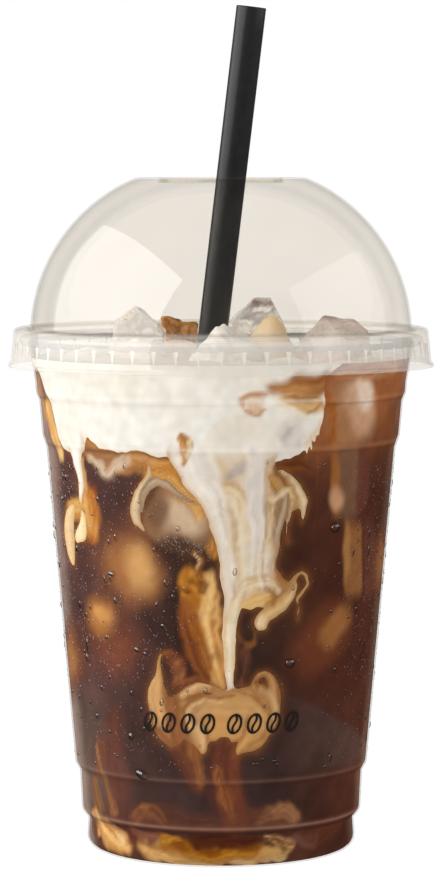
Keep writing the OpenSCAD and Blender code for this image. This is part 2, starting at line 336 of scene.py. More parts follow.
# Sunken ice, seen as soft glows, with two painted highlights among them: x, z, half width, half height,
# tilt, softness, boxiness, colour, strength
ICE_GLOWS_AND_HIGHLIGHTS = [
    (-22.6, 71.5, 9.5, 9.5, 24, 0.9, 2.6, (120, 76, 54), 0.75),
    (-20.4, 70.2, 6.4, 7.4, 24, 1.0, 2.4, (168, 112, 66), 0.85),
    (-18.9, 71.0, 3.6, 5.2, 16, 1.2, 2.2, (206, 156, 98), 0.95),
    (-26, 54, 9.0, 8.5, -40, 1.1, 2.2, (108, 64, 48), 0.8),
    (-28.2, 58.4, 4.6, 4.2, -20, 1.1, 2.2, (172, 114, 60), 0.9),
    (-27.8, 59.2, 2.6, 2.2, -20, 1.3, 2.0, (206, 150, 88), 0.8),
    (-24, 51, 4.5, 4.0, 0, 1.3, 2.0, (128, 72, 52), 0.6),
    (29.5, 106, 6.5, 8, 14, 0.8, 2.6, (170, 122, 84), 0.8),
    (33.0, 107, 4.4, 6, 20, 1.0, 2.2, (206, 164, 132), 0.8),
    (31.6, 111.5, 4.6, 3.6, 20, 1.2, 2.0, (206, 168, 138), 0.7),
    # a painted highlight on the ice at the top right
    (33.4, 111, 2.8, 4.0, 24, 1.0, 2.0, (234, 212, 194), 0.85),
    (29.6, 90, 4.6, 8.6, 0, 0.5, 3.4, (122, 88, 66), 0.85),
    (26.6, 91, 1.4, 8.0, 3, 0.9, 2.6, (160, 100, 50), 0.8),
    # a painted highlight at the foot of the amber band
    (26.9, 86.8, 2.0, 2.8, 20, 1.1, 2.0, (200, 152, 116), 0.85),
    (33.2, 91.5, 2.6, 8.5, 0, 0.6, 3.0, (104, 58, 48), 0.8),
    (31.0, 71.4, 3.4, 8.8, 4, 0.4, 4.0, (146, 96, 56), 0.9),
    (29.4, 74, 1.2, 6.0, 4, 1.1, 2.0, (176, 124, 74), 0.7),
    (35.2, 71, 3.4, 8.6, 4, 0.6, 3.4, (110, 64, 52), 0.6),
    (24, 54, 9.5, 6.0, 38, 0.8, 2.6, (112, 60, 36), 0.8),
    (26.8, 56.4, 5.6, 3.2, 42, 0.9, 2.6, (158, 104, 58), 0.9),
]
for x, z, hw, hh, tilt, soft, box, colour, k in ICE_GLOWS_AND_HIGHLIGHTS:
    paint(base, patch(x, z, hw, hh, tilt, soft, box) * k, colour)

# More sunken ice round the sides and the back: the angle from the front, and the height
SIDE_ICE = [(80, 70), (97, 92), (110, 50), (129, 76), (147, 44), (165, 80),
            (-76, 46), (-99, 74), (-119, 52), (-139, 80), (-160, 58)]
SIDE_ICE_W, SIDE_ICE_H, SIDE_ICE_BOX = 10.5, 8.0, 3.2
# From the outside in: share of the size, softness, colour, strength
SIDE_ICE_SHADES = [(1.0, 0.7, (106, 62, 44), 0.75), (0.72, 0.8, (136, 86, 54), 0.7),
                   (0.45, 1.1, (172, 120, 74), 0.55)]
for k, (angle, z) in enumerate(SIDE_ICE):
    u, tilt = math.radians(angle) * radius_at(z), 40 * math.sin(2.3 * k)
    for grow, soft, colour, strength in SIDE_ICE_SHADES:
        shape = blob(u, z, SIDE_ICE_W * grow, SIDE_ICE_H * grow, tilt, soft, SIDE_ICE_BOX)
        paint(base, shape * strength, colour)

# Streaks, washes and small marks in the coffee: half-clear strokes, each
# (strength, softness, colour, second colour, [(x, z, half width), ...])
WASHES = [
    # under the cream layer, on the left
    (0.95, 1.6, (200, 146, 84), (160, 100, 52), [(-31, 99, 2), (-26, 96.5, 2.6), (-20, 95.5, 2.4),
     (-14, 94.5, 2.2), (-9, 92.5, 2.2)]),
    (0.8, 1.2, (132, 92, 64), (160, 116, 82), [(-30, 97.6, 1.4), (-27.4, 96.4, 2.0), (-24.6, 96.4, 1.4)]),
    (0.85, 1.1, (222, 200, 174), (196, 164, 132), [(-30, 95.8, 0.7), (-27.8, 94.0, 1.0), (-26.0, 92.4, 0.8),
     (-23.8, 94.4, 1.1), (-21.4, 96.2, 0.9)]),
    (0.6, 0.8, (222, 176, 120), (196, 146, 92), [(-20, 96.2, 0.6), (-16, 95.6, 1.0), (-12.6, 94.6, 1.0)]),
    # round the front ice
    (0.95, 1.2, (216, 154, 70), (184, 116, 46), [(-16.4, 93, 1.9), (-12.4, 92.6, 2.8), (-8.8, 89.8, 2.8),
     (-5, 85.5, 2.2), (-3.4, 80, 1.6), (-2.2, 75, 1)]),
    # beside the left drip
    (0.9, 3.0, (186, 104, 36), (150, 80, 30), [(-30.6, 87, 1.0), (-30.6, 83, 1.6), (-31, 79, 1.4)]),
    (0.95, 0.5, (226, 190, 132), GOLD, [(-32.4, 95, 0.5), (-32.2, 90, 0.7), (-31.9, 85.4, 0.7)]),
    (0.9, 1.8, (214, 148, 66), (238, 196, 118), [(-35.5, 83, 2.0), (-32.6, 83.2, 2.6), (-30.8, 80.4, 2.2)]),
    (0.7, 1.4, (168, 96, 36), (200, 130, 60), [(-30.4, 86.6, 1.2), (-29.4, 82, 1.6), (-30, 77, 1.2)]),
    # the amber curtain beside the stream
    (0.97, 1.0, (204, 138, 52), (150, 86, 26), [(-7, 71, 1.6), (-6.2, 67, 3.4), (-4, 61, 3.6),
     (-2.6, 55, 3.2), (-1.6, 50, 2.6), (0.4, 45.5, 1.6)]),
    (0.8, 1.2, (150, 84, 42), (116, 60, 32), [(-8.4, 64, 0.6), (-7.9, 60, 0.9), (-7.2, 55, 1.1),
     (-6.0, 50.4, 1.3), (-4.0, 46.6, 1.3), (-1.6, 44.4, 0.9)]),
    (0.9, 0.9, (234, 190, 124), (204, 144, 76), [(-2.0, 70, 1.2), (-2.6, 63, 2.0), (-2.6, 56, 2.2),
     (-1.6, 49.6, 2.0), (0.4, 44, 1.1)]),
    (0.75, 0.6, (238, 204, 146), (222, 176, 108), [(-2.6, 66, 0.3), (-3.4, 60, 0.5), (-3.2, 54, 0.5),
     (-1.8, 48, 0.4)]),
    (0.8, 0.5, (160, 96, 40), (180, 116, 54), [(-1.0, 66, 0.2), (-1.9, 60, 0.35), (-1.6, 54, 0.35),
     (-0.6, 48, 0.3)]),
    (0.8, 0.6, (120, 62, 22), (150, 84, 30), [(-5.6, 59, 0.7), (-4.6, 53, 0.8), (-3, 47.5, 0.6)]),
    (0.8, 0.4, (120, 60, 18), (96, 46, 16), [(-9.3, 66.8, 0.7), (-7.8, 66.2, 0.6)]),
    (0.8, 0.4, (120, 60, 18), (96, 46, 16), [(-6.4, 68.6, 0.5), (-3.6, 67.2, 0.7), (-4.5, 65.8, 0.5)]),
    # smoke between the curtain and the billow, and on the right of the streak
    (0.65, 1.0, (150, 88, 52), RUST, [(-13.6, 50.6, 0.3), (-12.2, 50.9, 0.5), (-10.6, 49.6, 0.6),
     (-9, 47.4, 0.5)]),
    (0.7, 1.6, (120, 64, 42), RUST, [(-9.6, 50, 0.6), (-9.8, 47, 1.2), (-9, 44.6, 1.8), (-7, 44, 1.6)]),
    (0.7, 0.5, (176, 118, 74), (140, 84, 52), [(-9.8, 48.6, 0.2), (-8.8, 46.4, 0.3), (-10.6, 44.8, 0.3),
     (-8.2, 45, 0.3), (-5.6, 45.4, 0.4)]),
    (0.55, 1.2, (130, 80, 58), (96, 56, 44), [(5.4, 51.6, 0.8), (6.0, 48, 0.7), (5.0, 44.4, 0.9)]),
    (0.7, 0.5, (150, 98, 54), (128, 78, 42), [(3.6, 56, 0.4), (4.4, 53.8, 0.6), (6.4, 53.2, 0.5),
     (7.6, 54.6, 0.35), (7.2, 57.4, 0.3)]),
    # the dark pocket over the ribbon at the right of the stream
    (0.85, 1.4, (124, 68, 28), (92, 48, 26), [(12.6, 94.4, 1.0), (15, 95, 1.6), (18, 95.4, 1.6),
     (20.6, 94, 1.0)]),
    # reddish trails under the billow
    (0.6, 2.4, (104, 56, 40), (130, 72, 46), [(-9, 31, 3.0), (-7.4, 26, 2.6), (-5.8, 21, 1.6)]),
    (0.75, 1.4, (170, 112, 62), (140, 84, 46), [(-7.0, 31.6, 1.4), (-6.2, 27.5, 1.3), (-4.8, 23, 0.7),
     (-4.4, 21, 0.3)]),
    (0.75, 2.4, (92, 46, 34), (116, 60, 42), [(1.6, 30.5, 2.6), (1.2, 24, 3.0), (1.8, 17, 3.0),
     (3, 10.6, 3.0)]),
    (0.65, 1.2, (136, 78, 46), (110, 60, 40), [(3.4, 27, 0.6), (3.8, 22, 0.8), (2.8, 17, 0.6)]),
    (0.8, 1.1, (160, 100, 54), (124, 70, 40), [(-0.6, 23.6, 0.4), (0.4, 19, 0.8), (1.6, 15.4, 0.8),
     (3.0, 11.4, 0.5)]),
    # the column at the left, down to the foot
    (0.55, 3.6, (104, 58, 46), (120, 66, 48), [(-25.4, 34, 1.4), (-26, 28, 2.8), (-25, 20, 3.2),
     (-24.6, 13, 3.0)]),
    (0.6, 2.0, (134, 86, 56), (110, 66, 46), [(-28.6, 29, 0.8), (-28.8, 24, 1.6), (-28.8, 19, 1.4)]),
    (0.8, 0.9, (168, 116, 70), (132, 84, 50), [(-29.4, 27.4, 0.3), (-28.6, 22.8, 0.7), (-26.8, 17, 0.7),
     (-25.2, 12, 0.6)]),
    (0.75, 1.4, (156, 106, 62), (126, 80, 48), [(-30.2, 18.4, 0.6), (-29.8, 15.6, 1.4), (-29, 12, 1.8)]),
    # low clouds over the foot, each with a painted highlight along its top edge
    (0.65, 2.4, (108, 62, 44), (88, 50, 38), [(-20, 11.6, 1.4), (-15, 12.2, 2.2), (-8, 11.2, 2.0),
     (0, 10.6, 1.6)]),
    (0.7, 1.4, (136, 84, 54), (106, 62, 42), [(-19.8, 11, 0.8), (-18.2, 13, 1.4), (-15.6, 13, 1.4),
     (-13.6, 11.4, 0.8)]),
    # painted highlight on the left cloud's upper edge
    (0.65, 0.9, (158, 104, 64), (124, 76, 50), [(-20.8, 10.8, 0.4), (-19.8, 13.0, 0.6),
     (-17.8, 14.0, 0.5)]),
    (0.65, 2.4, (118, 70, 50), (94, 54, 40), [(2, 11.2, 1.4), (7, 11.8, 1.8), (12.4, 12.2, 2.2),
     (16.8, 11.2, 1.6)]),
    (0.7, 1.5, (152, 102, 70), (118, 74, 52), [(9, 12, 0.8), (12, 13, 1.6), (15, 12.8, 1.7),
     (17.4, 11, 1.0)]),
    # painted highlight on the right cloud's top
    (0.65, 1.0, (170, 120, 80), (136, 90, 60), [(12.4, 13.6, 0.6), (15, 13.6, 1.1), (17, 12, 1.0),
     (17.6, 10.6, 0.5)]),
    (0.55, 1.6, (126, 64, 42), (100, 54, 40), [(3.4, 18.6, 0.5), (5, 15.6, 0.9), (7.6, 13.4, 1.0)]),
    # the foot: a dim red-brown ground, the gold at the left, then the long gold and amber band
    (0.7, 2.0, (112, 58, 38), (84, 42, 30), [(-31, 6, 1), (-20, 5, 2), (-6, 4.4, 2.2), (8, 4.6, 2.2),
     (20, 5.6, 2), (28, 7, 1)]),
    (0.95, 1.3, (222, 168, 104), (178, 122, 66), [(-29.8, 9.2, 1.4), (-28.4, 6.8, 2.6), (-25, 4.8, 2.8),
     (-22.2, 3.6, 1.7)]),
    (0.8, 0.9, (238, 200, 138), (214, 164, 96), [(-28.8, 8.4, 0.7), (-27.6, 5.8, 1.1), (-24.8, 3.8, 0.9),
     (-22, 3.2, 0.5)]),
    (0.7, 0.8, (240, 212, 160), (216, 170, 104), [(-25.2, 6.8, 0.4), (-23.4, 4.9, 0.6)]),
    (0.7, 1.0, (150, 96, 74), (120, 70, 50), [(-20.4, 7.4, 0.8), (-16.4, 6.9, 1.2), (-12.6, 6.7, 0.8)]),
    (0.92, 1.3, (204, 156, 92), (164, 112, 56), [(-19.2, 4.4, 1.0), (-16, 3.4, 1.9), (-11, 2.8, 2.0),
     (-4, 2.4, 1.9), (4, 2.5, 1.9), (11, 3.4, 2.0), (15.4, 4.6, 1.4)]),
    (0.95, 1.2, (150, 88, 18), (124, 66, 10), [(-12.4, 5.4, 0.8), (-8.4, 4.9, 1.7), (-3, 4.1, 1.8),
     (3, 3.9, 1.8), (8.6, 4.5, 1.4)]),
    (0.92, 1.1, (84, 38, 18), (64, 28, 16), [(-6.6, 6.6, 0.7), (-1.6, 6.3, 1.1), (3.6, 6.3, 1.1),
     (8.4, 6.7, 0.7)]),
    (0.75, 0.9, (206, 150, 54), (176, 116, 34), [(-12.4, 5.9, 0.5), (-10, 6.3, 0.6), (-7.4, 5.4, 0.4)]),
    (0.65, 0.8, (196, 140, 48), (160, 100, 26), [(-8, 3.6, 0.3), (-3, 3.0, 0.5), (3, 2.9, 0.5),
     (8, 3.6, 0.3)]),
    (0.8, 0.9, (214, 176, 118), (186, 140, 84), [(-18.4, 4.0, 0.7), (-15.4, 2.8, 1.0), (-12, 2.2, 0.7)]),
    (0.9, 0.9, (200, 158, 106), (140, 90, 52), [(11, 6.6, 0.8), (13.4, 5.6, 1.5), (15.6, 4.8, 1.3)]),
    (0.85, 0.8, (66, 34, 18), (84, 46, 24), [(9.8, 6.4, 0.4), (10.8, 5.4, 0.5), (12, 4.8, 0.3)]),
    (0.7, 0.8, (92, 50, 26), (120, 72, 40), [(12.4, 7, 0.3), (13.8, 5.4, 0.4), (14.6, 3.8, 0.3)]),
    (0.6, 1.2, (132, 88, 76), (100, 62, 52), [(17.4, 6.6, 0.8), (19.6, 5.4, 1.4), (22, 5.4, 0.8)]),
    (0.5, 1.2, (112, 58, 42), (86, 44, 34), [(23.4, 7.6, 0.6), (26, 8, 0.9), (28.6, 9, 0.6)]),
    (0.75, 0.9, (206, 176, 130), (176, 138, 90), [(-12, 1.2, 0.3), (-5, 0.7, 0.5), (2, 0.6, 0.5),
     (9, 1.1, 0.5), (15, 2.2, 0.3)]),
    # the clouded band of film at the right of the cream's lobe
    (0.8, 1.4, (206, 156, 112), (170, 112, 72), [(27, 115.6, 1.2), (32, 116.2, 1.6), (41, 116.4, 1.4)]),
    (0.75, 1.0, (176, 96, 22), (140, 74, 20), [(24.5, 111, 0.8), (25.6, 107, 1.2), (26, 101, 1.0)]),
    # at the far left, where the cream's film turns amber
    (0.9, 1.0, (214, 160, 98), (180, 120, 64), [(-43.4, 112, 1.2), (-42, 107, 1.3), (-39.6, 100, 1.3)]),
    (0.9, 1.0, (238, 196, 132), (214, 162, 96), [(-40.8, 107, 1.4), (-39.2, 101, 2.2), (-37.6, 96.4, 1.3)]),
]
# Round the back: nine dim trails
BACK_TRAILS, BACK_DRIPS = 9, 10
for k in range(BACK_TRAILS):
    rng = np.random.default_rng(50 + k)
    a = wrapped(math.radians(105 + k * 17 + rng.uniform(-4, 4)))
    z0, drop = rng.uniform(62, 96), rng.uniform(16, 40)
    tone = ((150, 94, 52), (122, 70, 42)) if k % 2 else ((120, 66, 40), (100, 54, 36))
    u = a * radius_at(z0)
    WASHES.append((0.5, 3.2, *tone, [
        ("u", u, z0, rng.uniform(1.5, 3.5)), ("u", u + rng.uniform(-3, 3), z0 - drop / 2, 2.4),
        ("u", u + rng.uniform(-4, 4), z0 - drop, 1.2)]))


def streaky(along, side, d, seed, tight=1.3, stretch=9.0):
    """Noise drawn out along a stroke, from 0 to 1."""
    p = np.stack([side * tight * 2, along / stretch, np.clip(d, -6, 0) / 5 + seed * 7.3], 1)
    return np.clip(0.5 + 0.36 * Waves(900 + seed, 2.2)(p), 0, 1)


def paint_strokes(colours, strokes, seed, ragged_mid=0.0, ragged_fine=0.0, least_soft=0.0):
    """Paint the strokes of a table, with edges made ragged by the mid and the fine noise."""
    for k, (strength, soft, first, second, points) in enumerate(strokes):
        d, along, side = distance_to(points)
        d = d + ragged_mid * mid + ragged_fine * fine
        soft = max(soft, least_soft)
        mask = (1 - smooth(-soft * 0.6, soft, d)) * strength
        paint(colours, mask, blended(first, second, streaky(along, side, d, seed + k)))


paint_strokes(base, WASHES, 0, 0.3, 0.2, 0.8)

# The frosted ice cube just behind the front wall
ICE_X, ICE_Z = -9.2, 82.4
ice = patch(ICE_X, ICE_Z, 8.2, 7.4, -32, 0.25, 3.0)
paint(base, ice * 0.97, (150, 112, 82))
paint(base, ice * patch(ICE_X + 1.2, ICE_Z + 1.4, 5.2, 4.6, -30, 1.3, 2.2), (205, 178, 146))
paint(base, ice * patch(ICE_X - 5.4, ICE_Z + 2, 2.6, 4.4, -20, 1.2, 2.0) * 0.75, (112, 78, 56))
paint(base, ice * smooth(80, 76.5, V_GRID - 0.5 * (U_GRID + 9) * 0.4) * 0.6, (96, 66, 48))
paint(base, patch(-7.5, 74.6, 7.2, 2.8, -24, 1.0, 2.2) * 0.8, (66, 42, 30))

# Golden cream over the ice, and a glassy trail under it
AFTER_ICE = [
    (0.9, 1.0, (216, 158, 80), (186, 122, 54), [(-15, 93, 1.2), (-10.8, 91.2, 2.2), (-7.2, 88, 1.7),
     (-4.8, 84, 1.2)]),
    (0.8, 0.5, (232, 194, 130), (212, 160, 88), [(-15.2, 92.4, 0.4), (-12.6, 92, 0.5), (-9.4, 90, 0.6),
     (-6.6, 86.8, 0.6), (-4.8, 83, 0.4)]),
    (0.7, 0.5, (166, 104, 40), (190, 128, 58), [(-14.6, 94.6, 0.3), (-11.4, 93.4, 0.4), (-8.6, 91.4, 0.4),
     (-6.2, 88.6, 0.3)]),
    (0.8, 0.4, (172, 120, 60), (120, 76, 40), [(-6, 75, 0.5), (-4.6, 73.2, 0.7), (-5.4, 70.8, 0.6),
     (-4.6, 68.8, 0.4)]),
    (0.8, 0.2, (226, 200, 160), (206, 170, 120), [(-6.2, 74.8, 0.15), (-5, 73.4, 0.15),
     (-5.6, 71.6, 0.12)]),
]
paint_strokes(base, AFTER_ICE, 60)

# ---------------------------------------------------------------- the cream
# The layer's lower edge, from the left side of the front to the right side, and round the back
EDGE_FRONT = [(-43.6, 115.5), (-42.6, 113.5), (-41, 109.5), (-39.6, 105), (-38.4, 100.5), (-36.8, 97),
              (-34, 96.4), (-32, 97.6), (-31, 101.2), (-29.9, 99.8), (-28.4, 98.4), (-24, 97.4),
              (-21, 97.1), (-16.6, 97.8), (-13, 97), (-6, 95.6), (4, 95), (10, 95.4), (13.6, 95.6),
              (16.4, 97.3), (18.6, 98.2), (20.6, 99.6), (22.2, 101.8), (23.2, 104.6), (23.5, 107.5),
              (23.7, 112), (24.6, 115.4), (28, 118.6), (34, 120.5), (42, 121)]
EDGE_BACK = [(92, 121), (104, 118), (118, 108), (132, 103), (146, 98), (160, 99), (172, 101),
             (184, 99), (198, 96), (212, 99), (226, 104), (240, 101), (252, 108), (262, 114)]
edge_turn = [math.asin(max(-1.0, min(1.0, x / (radius_at(z) + 0.02)))) for x, z in EDGE_FRONT]
edge_turn += [math.radians(a) for a, z in EDGE_BACK]
edge_z = [z for x, z in EDGE_FRONT] + [z for a, z in EDGE_BACK]
edge_turn = np.array(edge_turn + [edge_turn[0] + 2 * math.pi])
edge_z = np.array(edge_z + [edge_z[0]])
look_turn = np.where(T_GRID < edge_turn[0], T_GRID + 2 * math.pi, T_GRID) + waver_u / R_GRID
low = np.interp(look_turn, edge_turn, edge_z)
steep = (np.interp(look_turn + 0.01, edge_turn, edge_z) - np.interp(look_turn - 0.01, edge_turn, edge_z))
layer = (V_GRID - low) / np.sqrt(1 + (steep / 0.02 / R_GRID) ** 2)

# Ribbons of cream: (colour, second colour, edge colour, streak share, points)
RIBBONS = [
    # drips at the left
    (WHITE, CREAM, TAN, 0.3, [(-34.0, 100, 3.6), (-33.9, 96.4, 2.6), (-33.5, 93.2, 1.9), (-33, 90, 1.3),
     (-32.7, 87, 0.8), (-32.5, 85, 0.4)]),
    ((232, 200, 152), TAN, GOLD, 0.5, [(-34.6, 83.4, 1.2), (-35.8, 80.6, 3.0), (-35.9, 76.6, 3.5),
     (-35.4, 73.2, 2.7), (-34.9, 70.8, 1.2)]),
    ((246, 228, 190), (240, 205, 140), (226, 170, 90), 0.3, [(-32.2, 82.4, 0.9), (-32.2, 79.6, 1.5),
     (-32.8, 77.2, 2.2), (-33.3, 75.8, 1.4)]),
    # the hook round the front ice
    ((222, 196, 158), TAN, (150, 100, 56), 0.6, [(-17.2, 95.6, 0.4), (-16.8, 93, 0.9), (-17.8, 90.4, 1.3),
     (-19.2, 87.4, 1.8), (-20, 84.4, 1.8), (-19, 81.6, 1.3), (-17.5, 79.9, 0.6)]),
    ((206, 184, 156), (170, 140, 104), (120, 84, 52), 0.6, [(-17.9, 84, 0.4), (-18, 86.6, 0.8),
     (-17, 89, 1.2), (-14.8, 90.6, 1.3), (-12.2, 90.2, 1.1), (-9.6, 88.4, 0.9), (-6.4, 86.6, 0.5)]),
    # the fold at the right of the stream: its body, the roll round it and a fine drip
    ((218, 186, 130), (182, 134, 70), (150, 96, 44), 0.8, [(11.4, 90.6, 2.2), (13.6, 90.2, 2.5),
     (15.8, 88.8, 2.4), (17.4, 86.8, 1.5), (17.2, 85.4, 1.0)]),
    ((236, 218, 182), (214, 180, 126), (160, 108, 52), 0.5, [(14.4, 93.2, 0.7), (16.8, 91.4, 1.0),
     (18.5, 89, 1.2), (19.0, 86.4, 1.2), (18.9, 84.2, 0.8), (18.8, 82.3, 0.3)]),
    ((232, 214, 184), TAN, (150, 96, 40), 0.5, [(16.6, 86.4, 0.9), (16.1, 83.6, 0.55), (15.8, 80.6, 0.35),
     (15.7, 77.4, 0.3)]),
    # the curl under it: brown inside, a fine ring at its right, and the roll down to the left
    ((190, 140, 80), (152, 100, 50), (140, 92, 46), 0.8, [(9.6, 63.8, 1.6), (12.2, 64.2, 2.0),
     (14.6, 64.6, 1.8), (16, 65, 1.0)]),
    ((196, 150, 94), (160, 108, 60), (140, 92, 46), 0.8, [(12, 71, 1.1), (12.8, 68.4, 1.7),
     (14.4, 66.6, 1.5), (16, 65.4, 0.9)]),
    ((226, 196, 150), (186, 138, 84), (150, 96, 44), 0.6, [(17.7, 59.8, 0.5), (18.3, 61.6, 0.45),
     (18.0, 63.2, 0.5), (18.8, 65, 0.55), (19.6, 66.8, 0.6), (19.1, 68.8, 0.6), (17.8, 69.6, 0.6),
     (16.7, 68.2, 0.7), (16.5, 66, 0.9)]),
    ((234, 206, 158), (206, 156, 92), (150, 98, 46), 0.6, [(16.9, 66.4, 0.7), (16.3, 64.4, 1.3),
     (14.4, 62.5, 1.7), (12, 61, 1.8), (10.2, 59.4, 1.9), (9.4, 58, 1.9)]),
    # the clear brownish side of the stream
    ((196, 168, 132), (150, 112, 76), (140, 92, 50), 0.8, [(11, 93, 2.6), (13, 89, 2.8), (13.6, 84.6, 2.3),
     (12.9, 80, 2.1), (12.3, 76, 1.9), (11.4, 71.6, 1.8)]),
    # the stream
    ((232, 216, 196), (206, 176, 134), (196, 150, 96), 0.75, [(4, 98, 9), (4.8, 91, 6.4), (5.6, 84, 6.2),
     (6.6, 78, 6.0), (7.2, 72, 5.4), (7.4, 67.6, 4.7), (6.9, 64.8, 3.4)]),
    ((240, 232, 220), (214, 196, 176), (200, 160, 112), 0.5, [(-8, 97.5, 4.6), (-5, 91.5, 3.2),
     (-1.6, 85, 2.6), (0.6, 78, 2.2), (2.2, 71, 2.2), (2.6, 64, 2.4), (2.1, 59, 1.9), (1.5, 53, 1.75),
     (1.4, 48.4, 1.6), (2.0, 45, 1.2), (2.3, 42.8, 0.6)]),
    ((238, 226, 208), (212, 190, 164), (190, 150, 104), 0.6, [(9, 99, 4), (8.6, 93, 2), (9, 87, 1.4),
     (8.8, 80, 1.4), (7, 73, 1.8), (4.6, 67, 1.6), (3, 60, 1.2)]),
    # the billow at the foot of the stream: its horn, body, lobes and ring
    ((212, 162, 104), (172, 118, 68), (150, 98, 54), 0.7, [(-11.6, 51.2, 0.2), (-13.6, 50.8, 0.4),
     (-14.9, 48.6, 0.8), (-14.9, 45.6, 1.4), (-14.6, 42, 2.6), (-14.4, 38, 3.2), (-13.2, 34, 3.2),
     (-11.4, 31.4, 2.2)]),
    ((200, 150, 92), (164, 110, 62), (140, 92, 50), 0.8, [(-10.6, 38.6, 2.2), (-7.4, 40.6, 2.8),
     (-5.6, 42.4, 1.8), (-3, 43.2, 1.0), (0.4, 42.6, 0.7)]),
    ((204, 152, 92), (172, 120, 66), (140, 92, 50), 0.6, [(-8, 36, 4.6), (-3, 36, 5.8), (2, 36.6, 6.0),
     (6.4, 38.0, 6.0), (10.4, 40, 3.9)]),
    ((214, 166, 110), (184, 134, 80), (150, 98, 54), 0.6, [(-6.4, 33, 3.0), (-4.6, 30, 1.9),
     (-3.8, 28, 1.1)]),
    ((206, 154, 92), (178, 126, 72), (150, 98, 54), 0.6, [(9.0, 35, 4.2), (7.6, 31.4, 2.9), (5.0, 29, 1.5),
     (4.2, 27.4, 0.6)]),
    ((210, 162, 106), (178, 126, 72), (130, 82, 44), 0.6, [(8.0, 43.4, 1.1), (9.0, 45.2, 0.9),
     (10.8, 45.8, 1.0), (12.2, 44.6, 1.2), (12.6, 42, 1.4), (12.8, 39.4, 1.5), (12.4, 36.4, 1.5)]),
]
# Little teeth under the lobe at the right, then more drips round the back
for x, z in ((19.4, 98.6), (20.6, 99.6), (21.6, 101.2), (22.4, 103)):
    tooth = [(x - 0.5, z + 1.5, 0.7), (x, z - 0.6, 0.45), (x + 0.1, z - 1.8, 0.15)]
    RIBBONS.append((WHITE, CREAM, TAN, 0.3, tooth))
DRIP_TOP = 108
for k in range(BACK_DRIPS):
    rng = np.random.default_rng(80 + k)
    u = wrapped(math.radians(108 + k * 15.2 + rng.uniform(-4, 4))) * radius_at(100)
    top, drop, w = DRIP_TOP, rng.uniform(16, 44), rng.uniform(1.6, 3.2)
    RIBBONS.append(((236, 222, 198), TAN, GOLD, 0.5, [
        ("u", u, top, w * 1.6), ("u", u + rng.uniform(-1, 1), top - drop * 0.4, w),
        ("u", u + rng.uniform(-3, 3), top - drop * 0.75, w * 0.6),
        ("u", u + rng.uniform(-3, 3), top - drop, 0.4)]))

cream = base.copy()
cream_in = layer.copy()
# The layer itself: white, with warm and grey clouds in it, and two mauve-grey patches of painted shade
cloud = 0.5 + 0.25 * Waves(31, 16)(POINTS) + 0.2 * Waves(32, 6)(POINTS)
layer_colour = blended((240, 236, 228), (236, 230, 217), np.clip(cloud, 0, 1))
layer_mask = smooth(-0.5, 0.1, layer)
paint(cream, layer_mask, layer_colour)
paint(cream, layer_mask * (1 - smooth(0, 1.2, layer)) * 0.5, (232, 210, 176))
# Painted shade: mauve-grey on the stream's top and beside the lobe
paint(cream, layer_mask * patch(4, 97, 8, 5, 10, 1.3) * 0.3, MAUVE_SHADE)
paint(cream, layer_mask * patch(16, 102, 3.6, 5, -40, 1.2) * 0.5, (206, 190, 180))

for k, (colour, second, rim, share, points) in enumerate(RIBBONS):
    d, along, side = distance_to(points)
    mask = 1 - smooth(-0.05, 0.45, d)
    mix = np.clip(streaky(along, side, d, 100 + k, 1.1, 12.0) * share * 1.5, 0, 1)
    what = blended(colour, second, mix)
    # A ribbon has painted shade along its right edge, and a thin warm rim
    what = what * (1 - 0.16 * smooth(0.2, 1.0, side) * mask)[:, None]
    edge = np.exp(-(np.minimum(d + 0.35, 0) / 0.5) ** 2)[:, None] * 0.55
    deep = smooth(0.5, 3.0, layer)
    what = what + (srgb(*rim) - what) * edge * (1 - 0.8 * deep)[:, None]
    what = what + (layer_colour - what) * smooth(0.0, 4.0, layer)[:, None] * 0.85
    paint(cream, mask, what)
    cream_in = np.logaddexp(cream_in / 0.45, -d / 0.45) * 0.45
cream_in -= 0.25

